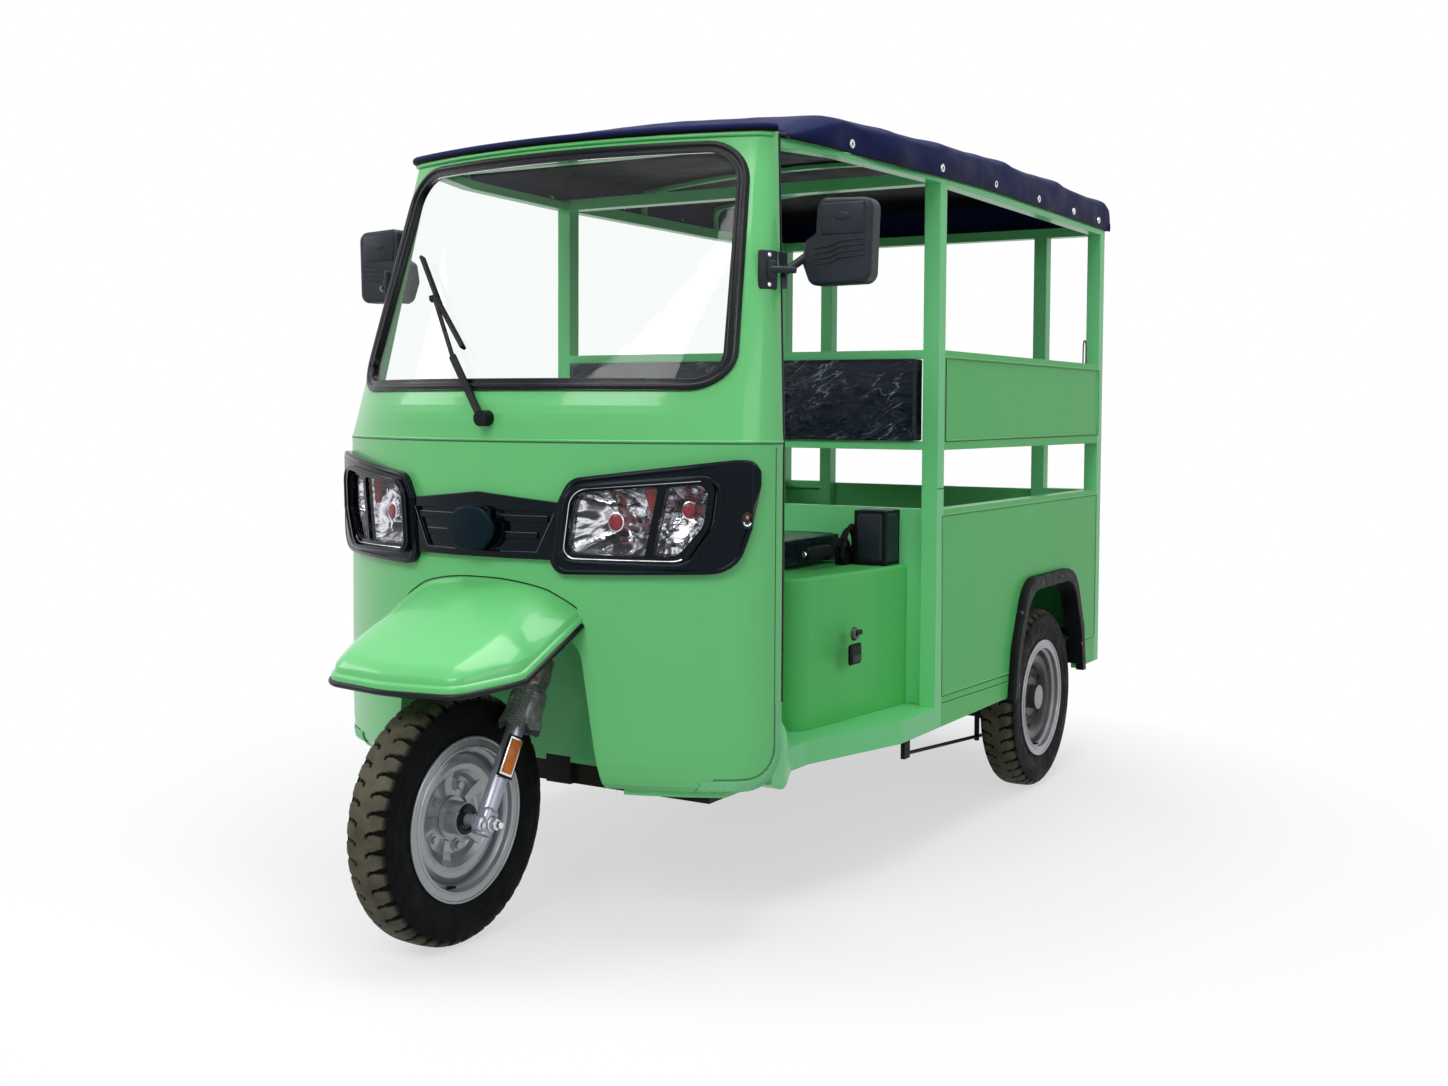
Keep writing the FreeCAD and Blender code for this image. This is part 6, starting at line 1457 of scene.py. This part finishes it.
KEY_LOCK = [(0, 0.0165), (0.004, 0.0160), (0.009, 0.0130), (0.009, 0.0060), (0.006, 0.0050), (0.006, 0.0)]
FLAP_SCREW = [(0, 0.0026), (0.0012, 0.0024), (0.0018, 0.0)]
FLARE_SCREW = [(-0.002, 0.0055), (0.0008, 0.0052), (0.0022, 0.0036), (0.0026, 0.0)]
BRACKET_SCREW = [(0, 0.0045), (0.0015, 0.0042), (0.0026, 0.0)]
FLARE_SCREWS = (
    (0.573, 0.341), (0.592, 0.544), (0.760, 0.617), (0.930, 0.617), (1.060, 0.580), (1.130, 0.470),
    (1.135, 0.390),
)


def make_fittings():
    """Lock and socket of the seat box, screws of the flares and the mirrors' brackets on the corner posts."""
    lock = disc_on("seat_box_lock", (0.5002, -0.257, 0.577), (1, 0, 0), KEY_LOCK, 28)
    dulled = Finish("dull_metal", (0.06, 0.06, 0.065), 0.3, 0.8).rough(0.25, 0.45, 80.0).material
    dress(lock, dulled, "lamp_chrome")
    for name, centre, size, radius, segments, look in (
        ("seat_box_lock_tab", (0.5085, -0.245, 0.580), (0.030, 0.012, 0.006), 0.0015, 2, "black_plastic"),
        ("charging_socket", (0.5035, -0.256, 0.529), (0.062, 0.049, 0.009), 0.006, 3, "black_plastic"),
        ("charging_socket_flap", (0.5085, -0.256, 0.519), (0.046, 0.019, 0.004), 0.0015, 2, "mirror_black"),
    ):
        dress(
            box_on(name, centre, ((0, 1, 0), (0, 0, 1), (1, 0, 0)), size, radius, segments), look,
            "black_plastic",
        )
    screws = []
    for y in (-0.265, -0.248):
        screws.append(disc_on("screw", (0.5085, y, 0.5435), (1, 0, 0), FLAP_SCREW, 10))
    for side in (1, -1):
        for y, z in FLARE_SCREWS:
            screws.append(disc_on("screw", (side * 0.6125, y, z), (side, 0, 0), FLARE_SCREW, 14))
    dress(join("small_screws", screws), dulled, "fork_steel")

    for side, name in SIDES:
        out = Vector((side * 0.887, -0.461, 0))
        along = Vector((side * 0.461, 0.887, 0))
        at = Vector((side * 0.5235, -0.7355, 1.401))
        axes = (along, UP, out)
        plates = [box_on("plate", at + out * 0.004, axes, (0.046, 0.082, 0.012), 0.005, 3)]
        plates.append(box_on("boss", at + out * 0.012 + along * 0.006, axes, (0.024, 0.040, 0.012), 0.005, 3))
        arm = [at + out * 0.014, at + out * 0.026 + along * 0.020, at + out * 0.034 + along * 0.050]
        plates.append(sweep("arm", arm, 0.0075, 12))
        dress(join(f"mirror_bracket_{name}", plates), "mirror_black")
        places = [at + out * 0.010 + Vector((0, 0, lift)) for lift in (-0.031, 0.031)]
        heads = [disc_on("head", place, out, BRACKET_SCREW, 12) for place in places]
        dress(join(f"bracket_screws_{name}", heads), BRIGHT, "fork_steel")


def make_side_seams():
    """Folded seams of the side panels and the sill, with painted highlights along their pressed edges."""
    dark = Finish("seam_shadow", (0.012, 0.085, 0.022), 0.5, gloss=0.1).rough(0.4, 0.6, 20.0).material
    # Painted highlights: pale green strips beside the seams, standing for the light on their pressed edges.
    pale = Finish("seam_highlight", (0.24, 0.68, 0.30), 0.4, gloss=0.2).rough(0.3, 0.5, 20.0).material
    plane = 0.589
    panel = [
        (0.568, 0.3723), (0.0742, 0.3837), (0.0631, 0.8433), (1.330, 0.8433), (1.331, 0.385), (1.175, 0.388)
    ]
    low = [(0.566, 0.3528), (0.0747, 0.3670)]
    middle = [(0.030, 0.9140), (0.0700, 0.9140)]
    upper = [(0.0800, 1.0313), (1.3360, 1.0380), (1.3360, 1.2420), (0.0790, 1.2420), (0.0800, 1.0313)]
    for side, name in SIDES:
        shades, lights = [], []
        for line in (panel, low, middle, upper):
            shades.append(sweep("seam", [Vector((side * plane, y, z)) for y, z in line], 0.0011, 6))
            shift = 0.0042 if line is not low else -0.0042
            beside = [Vector((side * (plane - 0.0002), y + 0.0030, z + shift)) for y, z in line]
            lights.append(sweep("edge", beside, 0.0013, 6))
        dress(join(f"side_seams_{name}", shades), dark, "body_green")
        dress(join(f"side_seam_edges_{name}", lights), pale, "body_green")


def make_arch_linings():
    """Black turned-in wall of each rear arch, behind the flare's inner edge."""
    rows = (0.6115, 0.5990, 0.5600)
    middle, reach, low, top = 0.866, 0.287, 0.300, 0.605
    corners = [
        (middle - reach, low, 0), (middle - reach * 0.93, low + (top - low) * 0.42, 0.09),
        (middle - reach * 0.66, top - 0.006, 0.11),
    ]
    corners += [(2 * middle - y, z, r) for y, z, r in reversed(corners)]
    path = rounded(corners, 0.0, 10, 0.02)
    path = [q for q in path if q.y > low + 0.004]
    start = min(range(len(path)), key=lambda i: (path[i].y, path[i].x))
    path = path[start:] + path[:start]
    linings = []
    for side in (1, -1):
        vertices = []
        for q in path:
            for x in rows:
                vertices.append(Vector((side * x, q.x, q.y)))
        faces = []
        for i in range(len(path) - 1):
            if (path[i + 1] - path[i]).length < 0.15:
                for k in range(2):
                    faces.append((i * 3 + k, i * 3 + k + 1, i * 3 + k + 4, i * 3 + k + 3))
        lining = mesh_object("lining", vertices, faces, 40)
        thicken(lining, 0.003, 0)
        linings.append(lining)
    dress(join("arch_linings", linings), "black_plastic")


def make_control_details():
    """Rounded shell of the box beside the seat, the lever's strap loops and its bright end button."""
    shell = rounded_box("side_box_shell", (0.3905, -0.0375, 0.7195), (0.4795, 0.0500, 0.8595), 0.016, 5)
    dress(shell, "mirror_black", "black_plastic")
    dress(
        rounded_box("side_box_face", (0.4030, -0.0400, 0.7330), (0.4670, -0.0340, 0.8450), 0.0028, 3),
        "mirror_black", "black_plastic",
    )
    straps = []
    for x, lean, wide, high in (
        (0.384, 0.00, 0.036, 0.082), (0.360, 0.03, 0.044, 0.070), (0.372, -0.03, 0.058, 0.050)
    ):
        arc = []
        for i in range(21):
            c, s = cos(pi * i / 20), sin(pi * i / 20)
            arc.append(Vector((x + 0.010 * s, -0.055 + lean + wide * c, 0.738 + high * s)))
        straps.append(sweep("strap", arc, 0.0052, 10))
    taper = [
        (0, 0.0110), (0.010, 0.0150), (0.050, 0.0165), (0.100, 0.0155), (0.122, 0.0135), (0.130, 0.0090),
        (0.130, 0.0),
    ]
    straps.append(lathe("grip", taper, (0.367, -0.125, 0.760), (0, -1, 0), 24, 50))
    dress(join("handbrake_straps", straps), "grip_rubber", "black_plastic")
    dress(lathe(
        "handbrake_button", [(0, 0.0075), (0.008, 0.0072), (0.010, 0.0055), (0.010, 0.0)],
        (0.367, -0.254, 0.760), (0, -1, 0), 20, 30,
    ), BRIGHT, "fork_steel")


def make_header_piping():
    """Rolled canvas edge and its green gutter over the windscreen."""
    piping = [q + Vector((0, 0, 0.006)) for q in cab_ring(1.7035, 0.010) if q.y < -0.655]
    gutter = [q for q in cab_ring(1.6960, 0.0035) if q.y < -0.655]
    dress(sweep("header_piping", piping, 0.0088, 12), "navy_canvas")
    dress(sweep("header_gutter", gutter, 0.0050, 10), "body_green")


def make_rail_loop():
    """Wire loop standing on the near side's upper rail, in front of the rear post."""
    middle, reach, foot, spring = 1.205, 0.014, 1.2600, 1.3120
    arc = [pi * i / 12 for i in range(13)]
    loop = [Vector((0.583, middle + reach, foot))]
    loop += [Vector((0.583, middle + reach * cos(a), spring + 0.022 * sin(a))) for a in arc]
    loop += [Vector((0.583, middle - reach, foot))]
    dress(sweep("rail_loop", loop, 0.0022, 8), "black_steel")


make_fittings()
make_side_seams()
make_arch_linings()
make_control_details()
make_header_piping()
make_rail_loop()

# Camera, light and floor


def plain_rays(tree):
    """One for rays that see the surroundings as plain white: the camera's, and those in glass and gloss."""
    path = tree.nodes.new("ShaderNodeLightPath")
    seen = path.outputs["Is Camera Ray"]
    for name in ("Is Transmission Ray", "Is Glossy Ray"):
        either = tree.nodes.new("ShaderNodeMath")
        either.operation = "MAXIMUM"
        tree.links.new(seen, either.inputs[0])
        tree.links.new(path.outputs[name], either.inputs[1])
        seen = either.outputs[0]
    return seen


def make_stage():
    """The photo's camera, four soft lamps, the white surroundings and the floor that fades into them."""
    camera_data = bpy.data.cameras.new("camera")
    camera_data.lens = 38.95
    camera_data.sensor_width = 36.0
    camera_data.shift_y = -0.0387
    camera = placed("camera", camera_data)
    aim = Matrix.Rotation(radians(30.71), 4, "Z") @ Matrix.Rotation(radians(90 - 2.74), 4, "X")
    roll = Matrix.Rotation(radians(0.32), 4, "Z")
    camera.matrix_world = Matrix.Translation((2.1302, -3.6102, 1.1038)) @ aim @ roll
    bpy.context.scene.camera = camera

    for name, place, target, size, power, tint in (
        ("key", (0.6, -5.4, 4.4), (0.0, -0.8, 0.8), 3.2, 150, (1.0, 0.99, 0.97)),
        ("side", (5.8, -2.4, 3.0), (0.3, 0.3, 0.8), 3.4, 55, (0.97, 0.99, 1.0)),
        ("far", (-4.8, -2.6, 3.2), (0.0, -0.4, 0.9), 2.6, 50, (1.0, 1.0, 1.0)),
        ("top", (0.2, -0.4, 5.6), (0.0, 0.0, 0.0), 4.0, 190, (1.0, 1.0, 1.0)),
    ):
        data = bpy.data.lights.new(name, "AREA")
        data.shape = "RECTANGLE"
        data.size, data.size_y = size, size * 0.6
        data.energy = power
        data.color = tint
        lamp = placed(name, data)
        lamp.location = place
        lamp.rotation_euler = (Vector(target) - Vector(place)).to_track_quat("-Z", "Y").to_euler()

    world = bpy.data.worlds.new("studio")
    bpy.context.scene.world = world
    world.use_nodes = True
    tree = world.node_tree
    tree.nodes.clear()
    blend, out = tree.nodes.new("ShaderNodeMixShader"), tree.nodes.new("ShaderNodeOutputWorld")
    tree.links.new(plain_rays(tree), blend.inputs[0])
    for socket, colour, strength in ((1, (0.93, 0.96, 1.0, 1), 0.30), (2, (1, 1, 1, 1), 1.0)):
        sky = tree.nodes.new("ShaderNodeBackground")
        sky.inputs["Color"].default_value = colour
        sky.inputs["Strength"].default_value = strength
        tree.links.new(sky.outputs[0], blend.inputs[socket])
    tree.links.new(blend.outputs[0], out.inputs[0])

    floor = mesh_object("floor", [(-30, -30, 0), (30, -30, 0), (30, 30, 0), (-30, 30, 0)], [(0, 1, 2, 3)])
    ground = Finish("pale_floor", (0.86, 0.86, 0.86), 0.6)
    ground.rough(0.55, 0.65, 1.0)
    bounced = ground.node("ShaderNodeLightPath").outputs["Is Diffuse Ray"]
    ground.paint(ground.mix(bounced, (0.86, 0.86, 0.86, 1.0), (0.42, 0.42, 0.42, 1.0)))
    fade = ground.node("ShaderNodeEmission", Color=(1, 1, 1, 1), Strength=1.0)
    reach = ground.vector("LENGTH", ground.node("ShaderNodeNewGeometry").outputs["Position"])
    far = ground.spread(reach, 1.2, 2.1, 0.60, 1.0)
    ground.cover(fade, ground.combine("MULTIPLY", far, plain_rays(ground.tree)))
    floor.data.materials.append(ground.material)


make_stage()

bpy.context.scene.view_settings.view_transform = "Standard"
